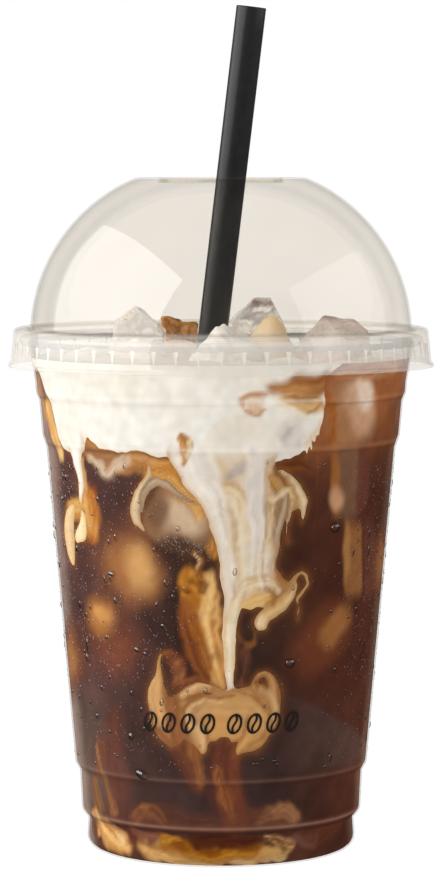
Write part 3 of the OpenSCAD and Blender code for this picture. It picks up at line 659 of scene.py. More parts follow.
# Marks on the cream: golden pockets and dark hollows, painted over it, with painted highlights and painted
# shade among them
MARKS = [
    (0.95, 0.5, (212, 152, 66), (168, 104, 40), [(-9.4, 101.2, 1.1), (-8.2, 99.4, 1.5), (-8, 97, 0.9),
     (-8.4, 94.8, 0.3)]),
    (0.7, 0.3, (246, 226, 176), CREAM, [(-7.6, 100.6, 0.3), (-7.2, 98.6, 0.35), (-7.8, 96.6, 0.25)]),
    (0.95, 1.6, (190, 130, 62), (156, 92, 34), [(11, 113.2, 0.8), (15, 112.8, 1.7), (19.5, 112.8, 2.4),
     (23.6, 113.6, 2.6)]),
    (0.8, 1.4, (132, 72, 28), (160, 96, 40), [(17, 114.6, 0.5), (20.6, 114.4, 1.0), (24, 115, 1.6)]),
    (0.9, 1.2, (222, 174, 100), (198, 142, 70), [(14, 110.2, 0.8), (18, 109.4, 1.5), (21.4, 108.8, 1.6),
     (23, 107.6, 0.8)]),
    (0.75, 0.6, (164, 106, 48), (136, 82, 34), [(14.6, 110.8, 0.25), (18, 110.2, 0.4), (21, 110.6, 0.3),
     (22.8, 109.6, 0.2)]),
    (0.7, 0.6, (168, 108, 50), (150, 96, 44), [(19.4, 107.2, 0.2), (21.4, 108.0, 0.3), (22.6, 109.0, 0.2)]),
    (0.8, 0.7, (244, 234, 214), (230, 206, 168), [(12, 110.8, 0.4), (14.2, 108.8, 0.5), (17.4, 107.4, 0.5),
     (19.6, 106.4, 0.4)]),
    (0.75, 0.9, (224, 186, 150), (206, 156, 112), [(7.4, 110.8, 1.6), (7.6, 108.6, 1.8)]),
    (0.8, 0.6, (184, 126, 84), (206, 160, 122), [(9.9, 111.6, 0.3), (7.2, 112.2, 0.5), (5.2, 110.6, 0.5),
     (5.6, 108.2, 0.4), (8, 106.6, 0.5), (10, 107.8, 0.3)]),
    (0.8, 0.6, (240, 226, 210), (226, 200, 176), [(6.4, 110, 0.4), (8.2, 110.4, 0.4), (8.8, 108.8, 0.3)]),
    # mauve-grey marks: painted shade on the stream and beside the lobe
    (0.55, 1.2, (160, 150, 158), (190, 180, 180), [(1.4, 92.4, 0.3), (3.4, 93.6, 0.8), (5.4, 94.6, 0.8)]),
    (0.4, 0.8, (150, 136, 140), (180, 166, 166), [(13.8, 101, 0.3), (15.4, 103, 0.5), (16.6, 104, 0.3)]),
    (0.45, 1.0, (176, 160, 152), (196, 178, 166), [(2, 90.5, 0.4), (1.6, 84, 0.5), (3.4, 78, 0.5),
     (4, 72, 0.5)]),
    (0.75, 1.2, (228, 206, 164), (236, 220, 190), [(1, 90, 0.8), (2.8, 87.4, 1.8), (3.4, 83.4, 1.8),
     (3.8, 79, 1.3), (5, 75, 1.8), (6.4, 71, 2.6), (7, 68.6, 2.6)]),
    (0.6, 0.5, (184, 138, 92), (206, 168, 124), [(0.6, 91.2, 0.3), (2.6, 90.8, 0.4), (5, 88.6, 0.4),
     (5.6, 85.4, 0.3)]),
    (0.55, 0.5, (190, 146, 98), (214, 180, 138), [(0.6, 89, 0.2), (2.8, 88, 0.35), (4.2, 85, 0.35),
     (3.6, 81.6, 0.3)]),
    (0.55, 0.5, (184, 140, 92), (206, 168, 120), [(0.8, 86, 0.2), (2.4, 84, 0.35), (3.2, 80, 0.35),
     (3.4, 75, 0.3)]),
    (0.7, 1.0, (243, 237, 229), (230, 218, 200), [(7.6, 96, 1.6), (7.8, 90, 1.4), (7.4, 84, 1.2),
     (7.4, 77, 1.0), (6.6, 70.6, 0.8)]),
    (0.85, 1.4, (238, 231, 222), (226, 216, 206), [(-4.4, 97, 2.2), (-2.8, 93.6, 2.2), (-1.6, 90.6, 1.4),
     (-0.6, 86, 0.9)]),
    (0.8, 0.9, (228, 219, 212), (216, 204, 196), [(8.0, 97.6, 1.6), (8.1, 92, 1.5), (7.9, 86, 1.4),
     (7.6, 80, 1.3), (7.2, 76, 1.0)]),
    (0.6, 0.6, (206, 164, 96), (190, 140, 76), [(11.4, 88, 0.4), (11.2, 82, 0.6), (11, 75, 0.5)]),
    (0.8, 1.0, (238, 222, 196), (222, 196, 154), [(9.4, 57.8, 1.0), (10.0, 59, 0.8)]),
    (0.8, 2.0, (146, 92, 56), (118, 68, 44), [(-15, 31.6, 1.2), (-12, 30.2, 1.6), (-8.6, 30.6, 1.0)]),
    (0.5, 0.6, (140, 120, 110), (160, 140, 120), [(14.6, 88, 0.4), (13.8, 83, 0.5), (13, 77, 0.4),
     (12.4, 72, 0.3)]),
    (0.85, 1.0, (226, 184, 110), (200, 146, 74), [(5.8, 62.6, 1.2), (8.4, 63.8, 1.7), (11, 64.4, 1.2)]),
    (0.8, 0.7, (170, 114, 54), (142, 90, 40), [(7.6, 66.4, 0.2), (10, 66.2, 0.4), (12, 64.4, 0.5),
     (12.4, 62.8, 0.4)]),
    # a pale arc of painted highlight along the top of the lower fold
    (0.75, 0.7, (240, 222, 188), (224, 196, 150), [(3.4, 63, 0.5), (4.6, 66, 0.6), (7.2, 68, 0.6),
     (10.4, 67.8, 0.6), (13.2, 65.4, 0.5)]),
    (0.6, 0.5, (184, 140, 94), (204, 166, 120), [(3.6, 66.6, 0.15), (6, 69, 0.25), (9.4, 69.4, 0.25),
     (12.4, 67.6, 0.25), (14.6, 65.4, 0.2)]),
    (0.55, 0.5, (190, 150, 104), (210, 174, 130), [(3.4, 65, 0.12), (5.6, 67.4, 0.2), (9, 68.6, 0.2),
     (12.2, 66.6, 0.2)]),
    (0.7, 0.7, (236, 206, 150), (222, 184, 120), [(5.4, 61.8, 0.4), (7.8, 62, 0.5), (9.6, 62.6, 0.3)]),
    # the fold at the right: gold in its hollow, and a painted highlight on its roll
    (0.9, 0.9, (186, 140, 66), (156, 104, 42), [(11.6, 92.2, 1.0), (12.4, 90.6, 1.3), (13.2, 89.6, 0.8)]),
    (0.8, 0.8, (152, 92, 34), (124, 70, 28), [(13, 92.8, 0.6), (14.6, 91.6, 0.7), (15.6, 90.6, 0.4)]),
    (0.75, 0.7, (236, 216, 178), (220, 188, 140), [(10.8, 87.6, 0.4), (12.8, 88, 0.5), (14.8, 89.6, 0.6),
     (16.2, 89.4, 0.4)]),
    (0.6, 0.6, (166, 116, 62), (186, 140, 86), [(15.6, 92, 0.2), (17.2, 89.6, 0.35), (17.4, 87, 0.35),
     (17.2, 85, 0.2)]),
    # on the billow: clear brown hollows, the pale middle as a painted highlight, and the folds round it as
    # pale lines of painted highlight beside dark lines of painted shade
    (0.85, 1.4, (156, 98, 56), (128, 76, 44), [(-11.6, 41, 0.8), (-10.8, 37.4, 1.7), (-10.6, 33.4, 1.7),
     (-9.4, 30.4, 1.0)]),
    (0.6, 1.0, (150, 96, 58), (170, 116, 72), [(-9, 34.6, 0.6), (-8.6, 31.6, 0.6)]),
    (0.75, 1.6, (214, 170, 114), (198, 150, 94), [(-4.6, 38.6, 1.2), (-0.6, 39.6, 2.0), (4, 39.4, 2.4),
     (7.6, 37.4, 1.8), (8.6, 34, 1.0)]),
    (0.6, 0.7, (222, 184, 136), (206, 162, 112), [(-6.4, 37, 0.7), (-5.8, 33.6, 0.9), (-4.6, 30.6, 0.8),
     (-4, 28.8, 0.5)]),
    (0.85, 0.5, (134, 84, 44), (156, 104, 60), [(-8.2, 32, 0.2), (-8.4, 36, 0.4), (-7, 39.6, 0.4),
     (-3.8, 41.4, 0.35), (0, 41.2, 0.25), (3, 42, 0.2)]),
    (0.8, 0.5, (236, 200, 150), (218, 174, 118), [(-7.4, 33, 0.2), (-7.4, 36, 0.35), (-6, 38.8, 0.35),
     (-3.2, 40.4, 0.35), (0.4, 40.4, 0.25)]),
    (0.6, 0.5, (150, 102, 60), (170, 120, 76), [(-6.2, 34.6, 0.15), (-5.8, 38, 0.25), (-3.4, 40.2, 0.25),
     (-0.4, 40.6, 0.15)]),
    (0.65, 0.5, (236, 202, 156), (214, 172, 120), [(-8.6, 41.4, 0.4), (-6, 43, 0.5), (-3, 43.4, 0.4)]),
    (0.7, 0.6, (140, 90, 50), (160, 110, 66), [(3.6, 43, 0.2), (6.6, 41.6, 0.35), (9.4, 39.8, 0.4),
     (10.8, 36.6, 0.3)]),
    (0.65, 0.6, (226, 188, 138), (206, 162, 112), [(9.6, 42.6, 0.4), (11.6, 41.4, 0.5), (12.6, 38.4, 0.5),
     (12, 35, 0.4)]),
    (0.6, 0.6, (134, 86, 48), (152, 104, 62), [(10.4, 34.6, 0.3), (9.4, 31.6, 0.5), (6.6, 29.6, 0.4)]),
    (0.6, 0.6, (230, 190, 138), (206, 160, 108), [(-15.4, 46.6, 0.3), (-16.2, 42.4, 0.5),
     (-16.0, 38.4, 0.6), (-14.8, 34, 0.5)]),
    (0.7, 0.8, (128, 78, 46), (150, 98, 58), [(-13.4, 47, 0.25), (-13.0, 43.4, 0.5), (-12.2, 40.4, 0.5)]),
    (0.7, 0.9, (216, 176, 120), (190, 140, 84), [(-0.6, 60, 0.3), (-0.8, 55, 0.4), (-0.2, 50, 0.35),
     (0.8, 46, 0.2)]),
    (0.9, 0.8, (150, 90, 42), (110, 62, 32), [(8.6, 44.4, 0.3), (10, 44.8, 0.5), (11, 43.8, 0.4)]),
    (0.6, 0.8, (160, 108, 60), (180, 126, 74), [(6.4, 43.4, 0.3), (9, 42.6, 0.4), (11.2, 41, 0.4),
     (11.8, 38, 0.3)]),
    # the streak down to the billow is warmer than the stream
    (0.85, 0.9, (240, 224, 194), (224, 196, 152), [(2.8, 62, 1.4), (2.0, 57, 1.4), (1.6, 51, 1.3),
     (2.0, 46, 1.0)]),
    (0.6, 0.6, (206, 168, 116), (224, 192, 146), [(0.9, 60, 0.2), (0.6, 54, 0.3), (0.9, 48, 0.25)]),
]
# Fine lines that run with the stream, between its left and right edges
STREAM_LINES = 13
STREAM_Z = (64, 72, 80, 88, 94)
STREAM_LEFT, STREAM_RIGHT = (1.6, 1.2, -0.6, -3.4, -6), (13.4, 12.6, 14, 15.6, 13.6)
for k in range(STREAM_LINES):
    rng = np.random.default_rng(400 + k)
    share = (k + rng.uniform(0.2, 0.8)) / STREAM_LINES
    top, low_end = rng.uniform(84, 93), rng.uniform(65, 71)
    line_points = []
    for z in np.linspace(top, low_end, 6):
        left_x, right_x = np.interp(z, STREAM_Z, STREAM_LEFT), np.interp(z, STREAM_Z, STREAM_RIGHT)
        line_points.append((left_x + (right_x - left_x) * share, z, rng.uniform(0.08, 0.22)))
    tone = ((196, 166, 134), (214, 190, 162)) if k % 2 else ((246, 240, 230), (232, 220, 202))
    if share > 0.7:
        tone = ((160, 128, 104), (190, 156, 124)) if k % 2 else ((238, 222, 194), (220, 194, 154))
    MARKS.append((rng.uniform(0.35, 0.6), 0.45, *tone, line_points))
paint_strokes(cream, MARKS, 300, 0.14, 0.08)

# Places where the dark coffee cuts into the cream
CUTS = [
    [(0.4, 26.6, 2.6), (0.5, 29.4, 1.9), (0.7, 31.0, 0.9), (1.6, 31.2, 0.4)],
    [(17.9, 68, 0.3), (17.8, 66.4, 0.35)],
    [(-11.8, 49.2, 0.7), (-11.6, 46.6, 1.0), (-10.7, 44.2, 0.6), (-9.9, 43.2, 0.2)],
]
for points in CUTS:
    cream_in = np.minimum(cream_in, distance_to(points)[0])

# A warm glow in the coffee just outside the cream
halo = np.exp(-np.maximum(-cream_in - 0.1, 0) / 0.7)
paint(base, halo * 0.5 * (cream_in < 0), (150, 92, 46))


# The cup's ledges bend the light: a fine dark line over a pale one
def level_line(z, half_width):
    return np.exp(-((Z_GRID - z) / half_width) ** 2)


low_dark = level_line(FOOT_Z + 1.3, 0.35) + 0.5 * level_line(BAND_Z + 1.3, 0.3)
low_pale = level_line(FOOT_Z + 2.5, 0.4) + 0.4 * level_line(BAND_Z + 2.4, 0.4)
paint(base, low_dark * 0.6, (52, 26, 18))
paint(base, low_pale * 0.38, (184, 138, 116))
for z_line in (TAPER_Z + 1.0, MIDDLE_Z + 1.0):
    dark_line, pale_line = level_line(z_line, 0.3), level_line(z_line + 1.1, 0.45)
    paint(base, dark_line * 0.35, (60, 28, 18))
    paint(base, pale_line * 0.16, (206, 150, 104))
    paint(cream, dark_line * 0.22, (206, 186, 150))
    paint(cream, pale_line * 0.3, (252, 248, 240))

# The mist's speckle and the drink's own mottling
for colour in (base, cream):
    colour *= np.exp(0.025 * fine + 0.02 * mid)[:, None]
np.clip(base, 0.002, 0.95, out=base)
np.clip(cream, 0.002, 0.95, out=cream)


def add_colours(obj, colours):
    tint = obj.data.color_attributes.new("tint", "FLOAT_COLOR", "POINT")
    rgba = np.ones((len(colours), 4), np.float32)
    rgba[:, :3] = colours
    tint.data.foreach_set("color", rgba.ravel())


# ---------------------------------------------------------------- meshes of the drink
coffee = mesh_object("drink_coffee", POINTS, grid_faces(ROWS, COLS))
add_colours(coffee, base)

OUT = np.stack([np.sin(T_GRID), -np.cos(T_GRID), np.zeros(n)], 1)
bulge = 0.03 + 0.20 * smooth(0, 1.4, cream_in) + 0.035 * np.clip(fine, -1, 1) * smooth(0.2, 1, cream_in)
cream_points = POINTS + OUT * bulge[:, None]


def clipped(values, points, colours):
    """The part of the wall grid where values are above 0, with its edge cut exactly."""
    inside = (values > 0).reshape(ROWS, COLS)
    i, j = np.meshgrid(np.arange(ROWS - 1), np.arange(COLS), indexing="ij")
    corners = np.stack([i * COLS + j, i * COLS + (j + 1) % COLS,
                        (i + 1) * COLS + (j + 1) % COLS, (i + 1) * COLS + j], -1).reshape(-1, 4)
    count = inside.ravel()[corners].sum(1)
    faces = corners[count == 4].tolist()
    extra_p, extra_c, made = [], [], {}

    def crossing(a, b):
        key = (a, b) if a < b else (b, a)
        if key not in made:
            t = values[a] / (values[a] - values[b])
            made[key] = len(points) + len(extra_p)
            extra_p.append(POINTS[a] + (POINTS[b] - POINTS[a]) * t + OUT[a] * 0.01)
            extra_c.append(colours[a] + (colours[b] - colours[a]) * t)
        return made[key]

    for quad in corners[(count > 0) & (count < 4)]:
        loop = []
        for a, b in zip(quad, np.roll(quad, -1)):
            if values[a] > 0:
                loop.append(int(a))
            if (values[a] > 0) != (values[b] > 0):
                loop.append(crossing(int(a), int(b)))
        if len(loop) >= 3:
            faces.append(loop)
    all_p, all_c = np.vstack([points, extra_p]), np.vstack([colours, extra_c])
    used = np.unique(np.concatenate([np.array(f) for f in faces]))
    index = np.full(len(all_p), -1)
    index[used] = np.arange(len(used))
    return all_p[used], [index[np.array(f)].tolist() for f in faces], all_c[used]


wall_points, wall_faces, wall_colours = clipped(cream_in, cream_points, cream)
cream_wall = mesh_object("drink_cream", wall_points, wall_faces)
add_colours(cream_wall, wall_colours)

# The top of the drink: cream, heaped a little against what stands in it
HEAPS = [(0, -20, 7.6, 7.5), (-20, 2, 9, 4), (11, 8, 11, 4), (26, -15, 10, 3.4), (11, -12, 8.4, 9.0),
         (15, -14, 6, 3.4), (-11, 10, 7, 4), (-33, -10, 9, 2.4)]
rings, spokes = 46, 120
ring_r = np.linspace(0.01, 1, rings) * (radius_at(LEVEL) + 0.02)
spoke = np.linspace(0, 2 * math.pi, spokes, endpoint=False)
tx, ty = (ring_r[:, None] * np.sin(spoke)).ravel(), (-ring_r[:, None] * np.cos(spoke)).ravel()
flat = np.stack([tx, ty, np.full(len(tx), LEVEL)], 1)
tz = LEVEL + 0.35 * Waves(41, 12)(flat) + 0.15 * Waves(42, 4)(flat)
for hx, hy, hr, hh in HEAPS:
    q = np.hypot(tx - hx, ty - hy) / hr * (1 + 0.1 * Waves(44, 9)(flat))
    tz += hh * (1 - np.clip(q, 0, 1) ** 2) ** 2
rim_fade = smooth(1.0, 0.9, np.repeat(np.linspace(0.01, 1, rings), spokes))
tz = LEVEL + (tz - LEVEL) * rim_fade
top_points = np.stack([tx, ty, tz], 1)
cream_top = mesh_object("drink_top", top_points, grid_faces(rings, spokes))
tint = np.tile(srgb(240, 235, 224), (len(tx), 1))
paint(tint, np.clip(0.5 + 0.5 * Waves(43, 14)(flat), 0, 1) * 0.7, (228, 216, 194))
paint(tint, np.exp(-((tx - 13) ** 2 + (ty + 12) ** 2) / 34), (240, 206, 152))
paint(tint, np.exp(-((tx + 10) ** 2 + (ty - 14) ** 2) / 40), (196, 132, 62))
paint(tint, np.exp(-((tx - 24) ** 2 + (ty + 16) ** 2) / 60) * 0.5, (206, 178, 160))
add_colours(cream_top, tint)

# ---------------------------------------------------------------- ice above the drink

def ice_block(name, corners, seed, sharp, rough):
    """A worn lump of ice: a ball pushed in to the flat sides of the hull of a few corner points."""
    hull = bmesh.new()
    for corner in corners:
        hull.verts.new(Vector(corner))
    bmesh.ops.convex_hull(hull, input=hull.verts)
    hull.normal_update()
    centre = np.mean(corners, 0)
    planes = np.array([[*f.normal, f.normal.dot(f.verts[0].co - Vector(centre))] for f in hull.faces])
    hull.free()
    ball = bmesh.new()
    bmesh.ops.create_icosphere(ball, subdivisions=5, radius=1)
    d = np.array([v.co for v in ball.verts])
    faces = [[v.index for v in f.verts] for f in ball.faces]
    ball.free()
    reach = np.maximum(d @ planes[:, :3].T, 0) / np.abs(planes[:, 3])
    out = d / ((reach ** sharp).sum(1) ** (1 / sharp))[:, None]
    push = rough * (0.6 * Waves(seed, 7)(out) + 0.3 * Waves(seed + 1, 2.6)(out))
    return mesh_object(name, centre + out + d * push[:, None], faces)


ICE_CORNERS = {
    "ice_left": [(-27, -4, 118), (-25.5, -4.5, 126.5), (-20.6, -3, 130.6), (-14.4, -2, 125),
                 (-13.6, -4, 117), (-26, 9, 117), (-24, 9, 126), (-19, 9, 129.4), (-13.4, 8, 124.4),
                 (-13, 9, 116)],
    "ice_back": [(1, 3, 118), (2.4, 4, 127.4), (7.6, 3.4, 132.2), (12, 4.2, 132.6), (15.6, 5, 124),
                 (16.6, 4, 117), (1.6, 15, 118), (4, 15, 127), (9, 15, 131.4), (12.4, 14, 131),
                 (16, 14, 123.6), (17, 14, 117)],
    "ice_right": [(17.4, -21, 121.6), (18, -24, 114), (23.8, -19, 129), (31.4, -17, 127.6),
                  (35, -14.5, 124.4), (36.6, -15, 113), (28.6, -28, 122.6), (30, -28, 112),
                  (20, -8, 121), (25, -7.4, 127.6), (33, -6, 125), (34.6, -5, 113), (20, -8, 112)],
}
ICE_SEEDS = {"ice_left": 61, "ice_back": 64, "ice_right": 67}
ices = {k: ice_block(k + "_look", v, ICE_SEEDS[k], 34, 0.22) for k, v in ICE_CORNERS.items()}
MOUND_CORNERS = [(-6.4, -24, 120), (-6, -17, 120), (0.2, -21.4, 127.4), (1.4, -19, 127.4),
                 (8.6, -24, 120.4), (8.4, -16, 120.4), (-8, -22, 114), (10, -22, 114), (0, -29, 118.6),
                 (1, -13, 117)]
CRUMB_CORNERS = [(-14.6, 9, 117), (-14.4, 10, 126.8), (-13.6, 17, 127), (-6.4, 10, 126),
                 (-5.8, 16, 126.2), (-5.6, 9, 117), (-14, 18, 117), (-6, 18, 117)]
mound = ice_block("ice_front_look", MOUND_CORNERS, 71, 12, 0.7)
crumb = ice_block("amber_crumb", CRUMB_CORNERS, 77, 18, 0.7)

# ---------------------------------------------------------------- cup, lid and straw
CUP_COLS, LID_COLS, STRAW_COLS = 256, 288, 64
cup = turned("cup_look", np.vstack([spaced(cup_outside, 3), spaced(cup_inside, 3)[::-1]]), CUP_COLS)
rim_line = rounded([(NECK_R - 0.2, CUP_H - RIM_H, 0), (RIM_R, CUP_H - RIM_H, 1.08), (RIM_R, CUP_H, 1.08),
                    (NECK_R - WALL, CUP_H, 0.4), (NECK_R - WALL, CUP_H - 1, 0)])
rim = turned("cup_rim_look", rim_line, CUP_COLS, closed=True)

dome_centre = np.array([DOME_BASE_R - DOME_R, SEAT_Z - 1.2])
top_angle = math.asin((LID_TOP - dome_centre[1]) / DOME_R)
dome_arc = [dome_centre + DOME_R * np.array([math.cos(a), math.sin(a)])
            for a in np.linspace(top_angle, 0, 31)]
lid_path = np.vstack([
    rounded([(HOLE_R, LID_TOP - NECK_H, 0), (HOLE_R, LID_TOP, 0.55), (*dome_arc[0], 1.2),
             (*dome_arc[2], 0)]),
    dome_arc[3:-3],
    rounded([(*dome_arc[-3], 0), (DOME_BASE_R + 0.05, SEAT_Z - 0.1, 0.3),
             (DOME_BASE_R + 1, SEAT_Z + 1.4, 0.6), (SKIRT_R, SEAT_Z + 0.8, 1), (SKIRT_R + 0.3, CUP_H - 2, 0),
             (LIP_R - 0.6, LIP_Z + 1.1, 0.5), (LIP_R, LIP_Z + 0.7, 0.5), (LIP_R, LIP_Z, 0)]),
])
lid_inner = moved_left(lid_path, -LID_WALL)
lid = turned("lid_look", np.vstack([lid_path, lid_inner[::-1]])[::-1], LID_COLS, closed=True)

# The grip dents: small wedges on the skirt's inner side, wide at the top
verts, faces = [], []
for k in range(DENTS):
    a = 2 * math.pi * k / DENTS
    s, c = math.sin(a), -math.cos(a)
    for r, w, z in ((49.5, -0.6, 121.4), (49.5, 0.6, 121.4), (49.0, 0.35, 121.2), (49.75, 0.1, 118.0)):
        verts.append((r * s - w * c, r * c + w * s, z))
    b = 4 * k
    faces += [[b, b + 2, b + 1], [b, b + 3, b + 2], [b + 1, b + 2, b + 3], [b, b + 1, b + 3]]
dents = mesh_object("lid_dents", verts, faces, smooth=False)

straw_path = rounded([(STRAW_R - STRAW_WALL, 0, 0), (STRAW_R - 0.02, 0, 0.1), (STRAW_R, STRAW_LEN, 0.15),
                      (STRAW_R - STRAW_WALL, STRAW_LEN, 0.15), (STRAW_R - STRAW_WALL, 0.2, 0)], 3)
straw = turned("straw_look", spaced(straw_path, 6), STRAW_COLS, closed=True)
CLEARANCE, STRAW_X = 0.3, 2.4
reach = HOLE_R - CLEARANCE - STRAW_R / math.cos(STRAW_LEAN)
foot_z = BASE_RISE + WALL + 0.05 + CLEARANCE + STRAW_R * math.sin(STRAW_LEAN)
straw_at = Vector((STRAW_X, -math.sqrt(reach ** 2 - STRAW_X ** 2), LID_TOP))
run = (LID_TOP - foot_z) * math.tan(STRAW_LEAN)
straw_foot = Vector((straw_at.x - run * math.cos(STRAW_TURN),
                     straw_at.y - run * math.sin(STRAW_TURN), foot_z))
straw.rotation_euler = (0, STRAW_LEAN, STRAW_TURN)
straw.location = straw_foot * MM


# ---------------------------------------------------------------- drops on the cup
def on_cup(u_turn, z):
    """A point on the cup's outer wall and its outward normal."""
    wall = cup_outside[cup_outside[:, 0] > BASE_R + 2]
    r = np.interp(z, wall[:, 1], wall[:, 0])
    lean = (np.interp(z + 1, wall[:, 1], wall[:, 0]) - np.interp(z - 1, wall[:, 1], wall[:, 0])) / 2
    nrm = unit(np.array([math.sin(u_turn), -math.cos(u_turn), -lean]))
    return np.array([r * math.sin(u_turn), -r * math.cos(u_turn), z]), nrm


def drops(name, items, rings, spokes, height):
    """Flat domes on the cup: items are (turn, z, half width, half height, tilt)."""
    dome = [(math.sin(t), math.cos(t)) for t in np.linspace(math.pi / 2, 0.12, rings)]
    verts, faces = [], []
    for a, z, w, h, tilt in items:
        centre, nrm = on_cup(a, z)
        east = np.array([math.cos(a), math.sin(a), 0])
        north = np.cross(nrm, east) * -1
        north = north if north[2] > 0 else -north
        b = len(verts)
        ct, st = math.cos(tilt), math.sin(tilt)
        for rr, up in dome:
            for m in range(spokes):
                q = 2 * math.pi * m / spokes
                ex, ey = rr * w * math.cos(q), rr * h * math.sin(q)
                ex, ey = ex * ct - ey * st, ex * st + ey * ct
                verts.append(centre + east * ex + north * ey + nrm * (up * height * min(w, h) - 0.02))
        top = len(verts)
        verts.append(centre + nrm * (height * min(w, h) - 0.02))
        for i in range(rings - 1):
            for m in range(spokes):
                k = (m + 1) % spokes
                faces.append([b + i * spokes + m, b + i * spokes + k,
                               b + (i + 1) * spokes + k, b + (i + 1) * spokes + m])
        last = b + (rings - 1) * spokes
        faces += [[last + m, last + (m + 1) % spokes, top] for m in range(spokes)]
    return mesh_object(name, verts, faces)


MIST_DROPS, BEADS, BUBBLES = 2600, 150, 150
rng = np.random.default_rng(11)
mist = []
while len(mist) < MIST_DROPS:
    a, z = rng.uniform(-math.pi, math.pi), rng.uniform(23, 95)
    x = math.sin(a) if abs(a) < math.pi / 2 else 0.5
    chance = 0.06 + 0.9 * smooth(-0.05, -0.35, x) * (1 - 0.4 * smooth(-0.75, -1, x))
    chance += 0.75 * smooth(0.6, 0.85, x)
    chance *= 0.35 + 0.65 * smooth(38, 50, z)
    if rng.uniform() < chance:
        w = 0.09 + 0.13 * rng.uniform() ** 3
        mist.append((a, z, w, w * rng.uniform(0.9, 1.5), 0.0))
fine_drops = drops("drops_fine", mist, 3, 7, 0.7)
beads = []
while len(beads) < BEADS:
    a, z = rng.uniform(-math.pi, math.pi), rng.uniform(22, 96)
    x = math.sin(a) if abs(a) < math.pi / 2 else 0.4
    chance = 0.12 + 0.8 * smooth(-0.1, -0.3, x) + 0.6 * smooth(0.55, 0.8, x)
    if rng.uniform() < chance:
        w = 0.26 + 0.28 * rng.uniform() ** 2
        beads.append((a, z, w, w * rng.uniform(1.0, 2.1), rng.uniform(-0.3, 0.3)))
# The larger drops that stand out: x, z, half width, half height, tilt
LARGE_DROPS = [(-31.4, 51, 0.5, 1.9, 0.1), (-19.5, 51.6, 0.9, 0.6, -0.3), (-17.6, 50.8, 0.6, 0.5, 0),
               (-21, 30.8, 0.75, 0.9, 0), (-18.6, 21.8, 1.7, 1.0, -0.45), (16, 48.6, 1.2, 1.1, 0),
               (33.8, 51, 0.4, 1.2, 0), (25.6, 25, 0.5, 1.1, 0), (26.6, 79.8, 1.3, 1.2, 0),
               (30.8, 73.6, 0.5, 1.1, -0.1), (34.6, 73.2, 0.5, 1.4, -0.1), (34.6, 68.6, 0.3, 0.8, 0),
               (7.9, 25.2, 0.6, 0.4, 0), (9.6, 26.2, 0.4, 0.5, 0), (12.4, 25.6, 0.5, 0.4, 0),
               (12.9, 24.8, 0.5, 0.4, 0), (-2.1, 24.4, 0.5, 0.4, 0), (31.6, 59.6, 0.5, 0.9, 0),
               (32.6, 51.4, 0.4, 1.1, -0.1), (-24.6, 62.8, 0.5, 0.8, 0.2), (-27, 67.4, 0.4, 1.2, 0.3),
               (-13.4, 57.6, 0.6, 0.6, 0), (-25.6, 69, 1.0, 0.6, -0.2), (-28.6, 86.4, 0.5, 0.7, 0),
               (-35.4, 93, 0.3, 0.8, 0.2), (-35.6, 86.6, 0.4, 1.4, 0.1)]
for x, z, w, h, tilt in LARGE_DROPS:
    beads.append((math.asin(x / (radius_at(z) + 0.35)), z, w, h, tilt))
large_drops = drops("drops_large", beads, 6, 14, 0.62)

# Bubbles, scattered along a band under the frosted cube
spots = []
for k in range(BUBBLES):
    t = rng.uniform(-1, 1)
    x = -7.6 + 5.6 * t
    z = 76.4 - 1.1 * t + rng.normal() * 1.3
    w = rng.uniform(0.07, 0.2)
    spots.append((math.asin(x / (radius_at(z) + 0.35)), z, w, w, 0.0))
bubbles = drops("bubbles", spots, 3, 7, 0.8)


# ---------------------------------------------------------------- the printed mark
PRINT_Z = 34.8


def bean_row():
    """Eight coffee beans in two groups of four: a leaning oval ring each, with a wavy seam."""
    flat, faces = [], []
    half_w, half_h, ink, sides, seam_steps = 1.75, 2.45, 0.55, 32, 12
    for cx in (-16.9, -12.3, -7.7, -3.1, 3.1, 7.7, 12.3, 16.9):
        b = len(flat)
        for i in range(sides):
            q = 2 * math.pi * i / sides
            for inset in (0, ink):
                x, z = (half_w - inset) * math.cos(q), (half_h - inset) * math.sin(q)
                flat.append((cx + x + 0.16 * z, z))
        for i in range(sides):
            j = (i + 1) % sides
            faces.append([b + 2 * i, b + 2 * j, b + 2 * j + 1, b + 2 * i + 1])
        b = len(flat)
        for i in range(seam_steps + 1):
            z = -2.1 + 4.2 * i / seam_steps
            x = cx + 0.34 * math.sin(z * 1.5) + 0.16 * z
            flat += [(x - ink / 2, z), (x + ink / 2, z)]
        faces += [[b + 2 * i, b + 2 * i + 1, b + 2 * i + 3, b + 2 * i + 2] for i in range(seam_steps)]
    pts = []
    for x, z in flat:
        centre, nrm = on_cup(x / radius_at(PRINT_Z), PRINT_Z + z)
        pts.append(centre + nrm * 0.04)
    return mesh_object("print_mark", pts, faces)


print_mark = bean_row()


# ---------------------------------------------------------------- materials
def tree_of(owner):
    """The owner's node tree, with nothing in it."""
    owner.use_nodes = True
    owner.node_tree.nodes.clear()
    return owner.node_tree


def node(t, kind, *ordered, **named):
    """A node. What is given is linked or set: inputs in order, then inputs or settings by name."""
    made = t.nodes.new(kind)
    pairs = list(zip(made.inputs, ordered))
    for name, value in named.items():
        if name in made.inputs:
            pairs.append((made.inputs[name], value))
        else:
            setattr(made, name, value)
    for socket, value in pairs:
        if isinstance(value, bpy.types.NodeSocket):
            t.links.new(value, socket)
        else:
            socket.default_value = value
    return made


def rgba(colour):
    """A grey or a linear colour, as Blender takes it."""
    return (*np.broadcast_to(colour, 3).astype(float).tolist(), 1.0)


def place(t):
    return node(t, "ShaderNodeTexCoord").outputs["Object"]


def noise(t, scale, detail=2.0, roughness=0.5):
    return node(t, "ShaderNodeTexNoise", Vector=place(t), Scale=scale, Detail=detail,
                Roughness=roughness).outputs["Fac"]


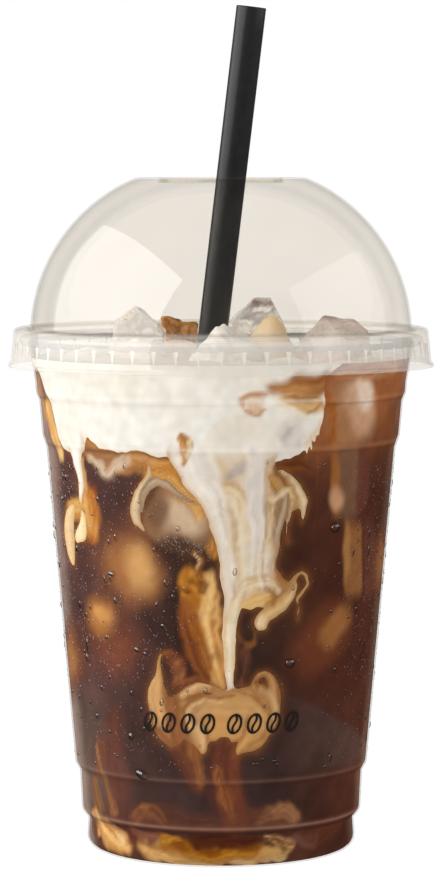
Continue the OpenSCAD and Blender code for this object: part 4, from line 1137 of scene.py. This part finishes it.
def ramp(t, source, *stops):
    """Colours along a value, from (position, colour) stops."""
    made = node(t, "ShaderNodeValToRGB", source)
    elements = made.color_ramp.elements
    while len(elements) < len(stops):
        elements.new(0.5)
    for element, (position, colour) in zip(elements, stops):
        element.position = position
        element.color = rgba(colour)
    return made.outputs["Color"]


def multiplied(t, first, second):
    made = node(t, "ShaderNodeMix", 1.0, data_type="RGBA", blend_type="MULTIPLY")
    t.links.new(first, made.inputs[6])
    t.links.new(second, made.inputs[7])
    return made.outputs[2]


def by_height(t, start, end, low=0.0, high=1.0):
    """A value that goes from low to high between two heights, in metres."""
    z = node(t, "ShaderNodeSeparateXYZ", place(t)).outputs["Z"]
    return node(t, "ShaderNodeMapRange", z, start, end, low, high).outputs["Result"]


def bumps(t, height, strength, distance):
    return node(t, "ShaderNodeBump", Height=height, Strength=strength, Distance=distance).outputs["Normal"]


def mixed(t, share, first, second):
    """The first shader, which gives way to the second by share."""
    return node(t, "ShaderNodeMixShader", share, first, second).outputs["Shader"]


def ray_is(t, kind):
    return node(t, "ShaderNodeLightPath").outputs[f"Is {kind} Ray"]


def transparent(t, colour):
    return node(t, "ShaderNodeBsdfTransparent", colour).outputs["BSDF"]


def principled(t, colour, rough, **more):
    more["Base Color"] = colour
    return node(t, "ShaderNodeBsdfPrincipled", Roughness=rough, **more).outputs["BSDF"]


def material(name, shader_of):
    """A material whose surface is what shader_of makes in its tree."""
    m = bpy.data.materials.new(name)
    t = tree_of(m)
    node(t, "ShaderNodeOutputMaterial", shader_of(t))
    return m


def drink_shader(t, gloss, mottle, bumpy):
    """The painted tint, with a fine mottling of its own."""
    tint = node(t, "ShaderNodeVertexColor", layer_name="tint").outputs["Color"]
    shade = ramp(t, noise(t, 420.0, 4.0), (0.25, 1 - mottle), (0.75, 1 + mottle))
    bump = bumps(t, noise(t, 260.0, 3.0), bumpy, 0.0004)
    return principled(t, multiplied(t, tint, shade), 0.5, Normal=bump, **{"Specular IOR Level": gloss})


def clear_shader(t, stops, glint=1.0, rough=0.03, wave=0.0, shine=0.5, base_shine=0.04, milky=0.0):
    """Thin clear plastic: a tint that changes towards grazing angles, with a reflection over it."""
    facing = node(t, "ShaderNodeLayerWeight", Blend=0.5).outputs["Facing"]
    unevenness = ramp(t, noise(t, 60.0, 3.0), (0.3, 0.988), (0.7, 1.0))
    clear = transparent(t, multiplied(t, ramp(t, facing, *stops), unevenness))
    gloss = node(t, "ShaderNodeBsdfGlossy", Color=rgba(glint), Roughness=rough)
    if wave:
        t.links.new(bumps(t, noise(t, 90.0, 1.0), wave, 0.0006), gloss.inputs["Normal"])
    steep = node(t, "ShaderNodeMath", facing, 5.0, operation="POWER").outputs[0]
    share = node(t, "ShaderNodeMath", steep, shine, base_shine, operation="MULTIPLY_ADD").outputs[0]
    body = mixed(t, share, clear, gloss.outputs["BSDF"])
    if milky:
        # Under the dome the sheet is a little milky
        white = node(t, "ShaderNodeBsdfDiffuse", rgba(srgb(250, 249, 246))).outputs["BSDF"]
        body = mixed(t, by_height(t, 0.1255, 0.1235, 0.0, milky), body, white)
    # Light passes in almost undimmed
    return mixed(t, ray_is(t, "Shadow"), body, transparent(t, rgba(0.985)))


def ice_shader(t, colour, milky, stain_from=None):
    """Clear wet ice with cloudy places inside, and coffee on its top above the height stain_from."""
    cloudy = ramp(t, noise(t, 150.0, 4.0, 0.6), (0.42, milky), (0.62, milky + 0.45))
    bump = bumps(t, noise(t, 320.0, 3.0), 0.5, 0.0008)
    glass = node(t, "ShaderNodeBsdfGlass", Color=rgba(colour), Roughness=0.04, IOR=1.31, Normal=bump)
    body = mixed(t, cloudy, glass.outputs["BSDF"], principled(t, rgba(colour * 0.97), 0.25, Normal=bump))
    if stain_from:
        spots = ramp(t, noise(t, 300.0, 3.0), (0.44, 0.0), (0.56, 0.85))
        share = node(t, "ShaderNodeMath", by_height(t, stain_from, stain_from + 0.002), spots,
                     operation="MULTIPLY").outputs[0]
        body = mixed(t, share, body, principled(t, rgba(srgb(112, 58, 26)), 0.2))
    return mixed(t, ray_is(t, "Shadow"), body, transparent(t, rgba(colour)))


def solid_shader(t, dark, light, scale, rough, gloss=0.5, bump_by=0.0):
    """A surface whose colour wanders between two shades."""
    grain = noise(t, scale, 4.0)
    more = {"Normal": bumps(t, grain, bump_by, 0.0005)} if bump_by else {}
    colour = ramp(t, grain, (0.3, srgb(*dark)), (0.7, srgb(*light)))
    return principled(t, colour, rough, **{"Specular IOR Level": gloss}, **more)


LID_TINT, CUP_TINT, WATER = np.array([0.98, 0.965, 0.942]), np.array([0.988, 0.983, 0.975]), np.ones(3)
ICE_TINT, MAUVE_TINT = np.array([0.97, 0.955, 0.94]), np.array([0.84, 0.79, 0.77])
LID_STOPS = [(0.0, LID_TINT), (0.5, LID_TINT), (0.6, LID_TINT * 0.978), (0.7, LID_TINT * 1.01),
             (0.93, LID_TINT * 1.01), (1.0, LID_TINT * 0.9)]
BEAD_STOPS = [(0.0, LID_TINT), (0.7, LID_TINT), (1.0, LID_TINT * 0.9)]
CUP_STOPS = [(0.0, CUP_TINT), (0.75, CUP_TINT), (1.0, CUP_TINT * 0.96)]
# Drops and mist darken towards their rims: painted shade in place of the light they bend away
MIST_RIM_SHADE_STOPS = [(0.0, WATER), (0.3, WATER), (0.6, srgb(190, 160, 140)), (1.0, srgb(120, 90, 74))]
DROP_RIM_SHADE_STOPS = [(0.0, WATER), (0.08, WATER), (0.35, srgb(110, 72, 54)), (1.0, srgb(22, 10, 8))]

coffee_mat = material("coffee", lambda t: drink_shader(t, 0.0, 0.06, 0.08))
cream_mat = material("cream", lambda t: drink_shader(t, 0.05, 0.008, 0.015))
lid_mat = material("lid_clear", lambda t: clear_shader(t, LID_STOPS, 1.0, 0.02, 0.05, 0.15, 0.04, 0.16))
bead_mat = material("cup_bead", lambda t: clear_shader(t, BEAD_STOPS, 1.0, 0.05, 0.05, 0.15, 0.04, 0.2))
cup_mat = material("cup_clear", lambda t: clear_shader(t, CUP_STOPS, 0.9, 0.04, 0.06, 0.2))
speck_mat = material("mist", lambda t: clear_shader(t, MIST_RIM_SHADE_STOPS, 1.2, 0.3, 0.0, 0.3, 0.22))
drop_mat = material("water", lambda t: clear_shader(t, DROP_RIM_SHADE_STOPS, 1.7, 0.03, 0.0, 0.5, 0.10))
ice_mat = material("ice", lambda t: ice_shader(t, ICE_TINT, 0.18))
stained_mat = material("ice_stained", lambda t: ice_shader(t, ICE_TINT, 0.14, 0.1295))
mauve_mat = material("ice_mauve", lambda t: ice_shader(t, MAUVE_TINT, 0.12, 0.1268))


def solid_material(name, *looks):
    return material(name, lambda t: solid_shader(t, *looks))


mound_mat = solid_material("cream_on_ice", (232, 230, 226), (244, 242, 238), 120, 0.35, 0.4, 0.15)
crumb_mat = solid_material("amber_ice", (110, 62, 20), (222, 160, 84), 500, 0.25, 0.6, 0.6)
straw_mat = solid_material("straw_black", (30, 30, 31), (38, 38, 39), 700, 0.32, 0.45, 0.04)
print_mat = solid_material("print_ink", (30, 22, 18), (40, 30, 25), 500, 0.6, 0.2)
# The dents are clear plastic: their white is a painted highlight for the light their facets catch
dent_glint_mat = solid_material("lug_white_glint", (228, 226, 221), (244, 242, 238), 300, 0.25, 0.6)

pieces = [
    (coffee, coffee_mat, "coffee", ["coffee"]), (cream_wall, cream_mat, "cream", ["cream"]),
    (cream_top, cream_mat, "cream", ["cream"]), (ices["ice_left"], ice_mat, "ice", ["ice_left"]),
    (ices["ice_back"], stained_mat, "ice", ["ice_back"]),
    (ices["ice_right"], mauve_mat, "ice", ["ice_right"]),
    (mound, mound_mat, "cream", ["ice_front"]), (crumb, crumb_mat, "ice", []),
    (cup, cup_mat, "cup_plastic", ["cup"]), (rim, bead_mat, "cup_plastic", ["cup"]),
    (lid, lid_mat, "lid_plastic", ["lid"]), (dents, dent_glint_mat, "lid_plastic", ["lid"]),
    (straw, straw_mat, "straw_plastic", ["straw"]), (fine_drops, speck_mat, "cup_plastic", []),
    (large_drops, drop_mat, "cup_plastic", []), (bubbles, speck_mat, "cup_plastic", []),
    (print_mark, print_mat, "straw_plastic", []),
]
for obj, mat, slot_name, stands_for in pieces:
    obj.data.materials.clear()
    obj.data.materials.append(mat)
    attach(obj, "root")
    if stands_for:
        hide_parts(*stands_for)


# ---------------------------------------------------------------- stage, lights and camera
def floor_shader(t):
    """White where it is seen, and dim where it is reflected."""
    glow, dull = (node(t, "ShaderNodeEmission", Strength=k).outputs["Emission"] for k in (1.0, 0.06))
    return mixed(t, ray_is(t, "Glossy"), glow, dull)


FLOOR_HALF, FLOOR_Z = 4000, -0.2
floor_corners = [(FLOOR_HALF * x, FLOOR_HALF * y, FLOOR_Z) for x, y in ((-1, -1), (1, -1), (1, 1), (-1, 1))]
floor = mesh_object("floor", floor_corners, [[0, 1, 2, 3]], smooth=False)
floor.data.materials.append(material("floor_white", floor_shader))

# The room: white where it is seen, a warm grey where it lights, and dim where it is reflected
WARM = np.array([1.0, 0.97, 0.93])
world = bpy.data.worlds.new("studio")
bpy.context.scene.world = world
t = tree_of(world)
seen, lighting, reflected = (node(t, "ShaderNodeBackground", rgba(colour), strength).outputs["Background"]
                             for colour, strength in ((1.0, 1.0), (WARM, 0.42), (WARM, 0.1)))
straight = node(t, "ShaderNodeMath", ray_is(t, "Camera"), ray_is(t, "Transmission"), operation="MAXIMUM")
room = mixed(t, ray_is(t, "Glossy"), lighting, reflected)
node(t, "ShaderNodeOutputWorld", mixed(t, straight.outputs[0], room, seen))


def panel(name, azimuth, elevation, distance, wide, tall, radiance, aim=(0, 0, 100)):
    """A soft lamp. Azimuth is from the viewer's side, positive to the viewer's right."""
    a, e = math.radians(azimuth), math.radians(elevation)
    towards = Vector((math.sin(a) * math.cos(e), -math.cos(a) * math.cos(e), math.sin(e)))
    at = Vector(aim) + distance * towards
    lamp = bpy.data.lights.new(name, "AREA")
    lamp.shape, lamp.size, lamp.size_y = "RECTANGLE", wide * MM, tall * MM
    lamp.energy = radiance * math.pi * wide * tall * MM * MM
    obj = bpy.data.objects.new(name, lamp)
    obj.location = at * MM
    obj.rotation_euler = (Vector(aim) - at).to_track_quat("-Z", "Y").to_euler()
    bpy.context.scene.collection.objects.link(obj)
    return obj


panel("key_left", -79, 26, 800, 1390, 820, 2.2)
panel("fill_right", 83, 21, 800, 1040, 490, 0.8)
panel("top", 0, 80, 700, 500, 500, 0.9).visible_glossy = False
panel("front", 0, 20, 1500, 900, 900, 0.6).visible_glossy = False

camera = bpy.data.cameras.new("camera")
camera.lens, camera.sensor_width = 136.9, 36.0
camera.clip_end = 20
eye = bpy.data.objects.new("camera", camera)
EYE, AIM = Vector((0, -0.8, 0.1554)), Vector((0.0001, 0, 0.09852))
eye.location = EYE
eye.rotation_euler = (AIM - EYE).to_track_quat("-Z", "Y").to_euler()
bpy.context.scene.collection.objects.link(eye)
bpy.context.scene.camera = eye

scene = bpy.context.scene
scene.view_settings.view_transform = "Standard"
scene.view_settings.look = "None"
scene.cycles.use_denoising = True
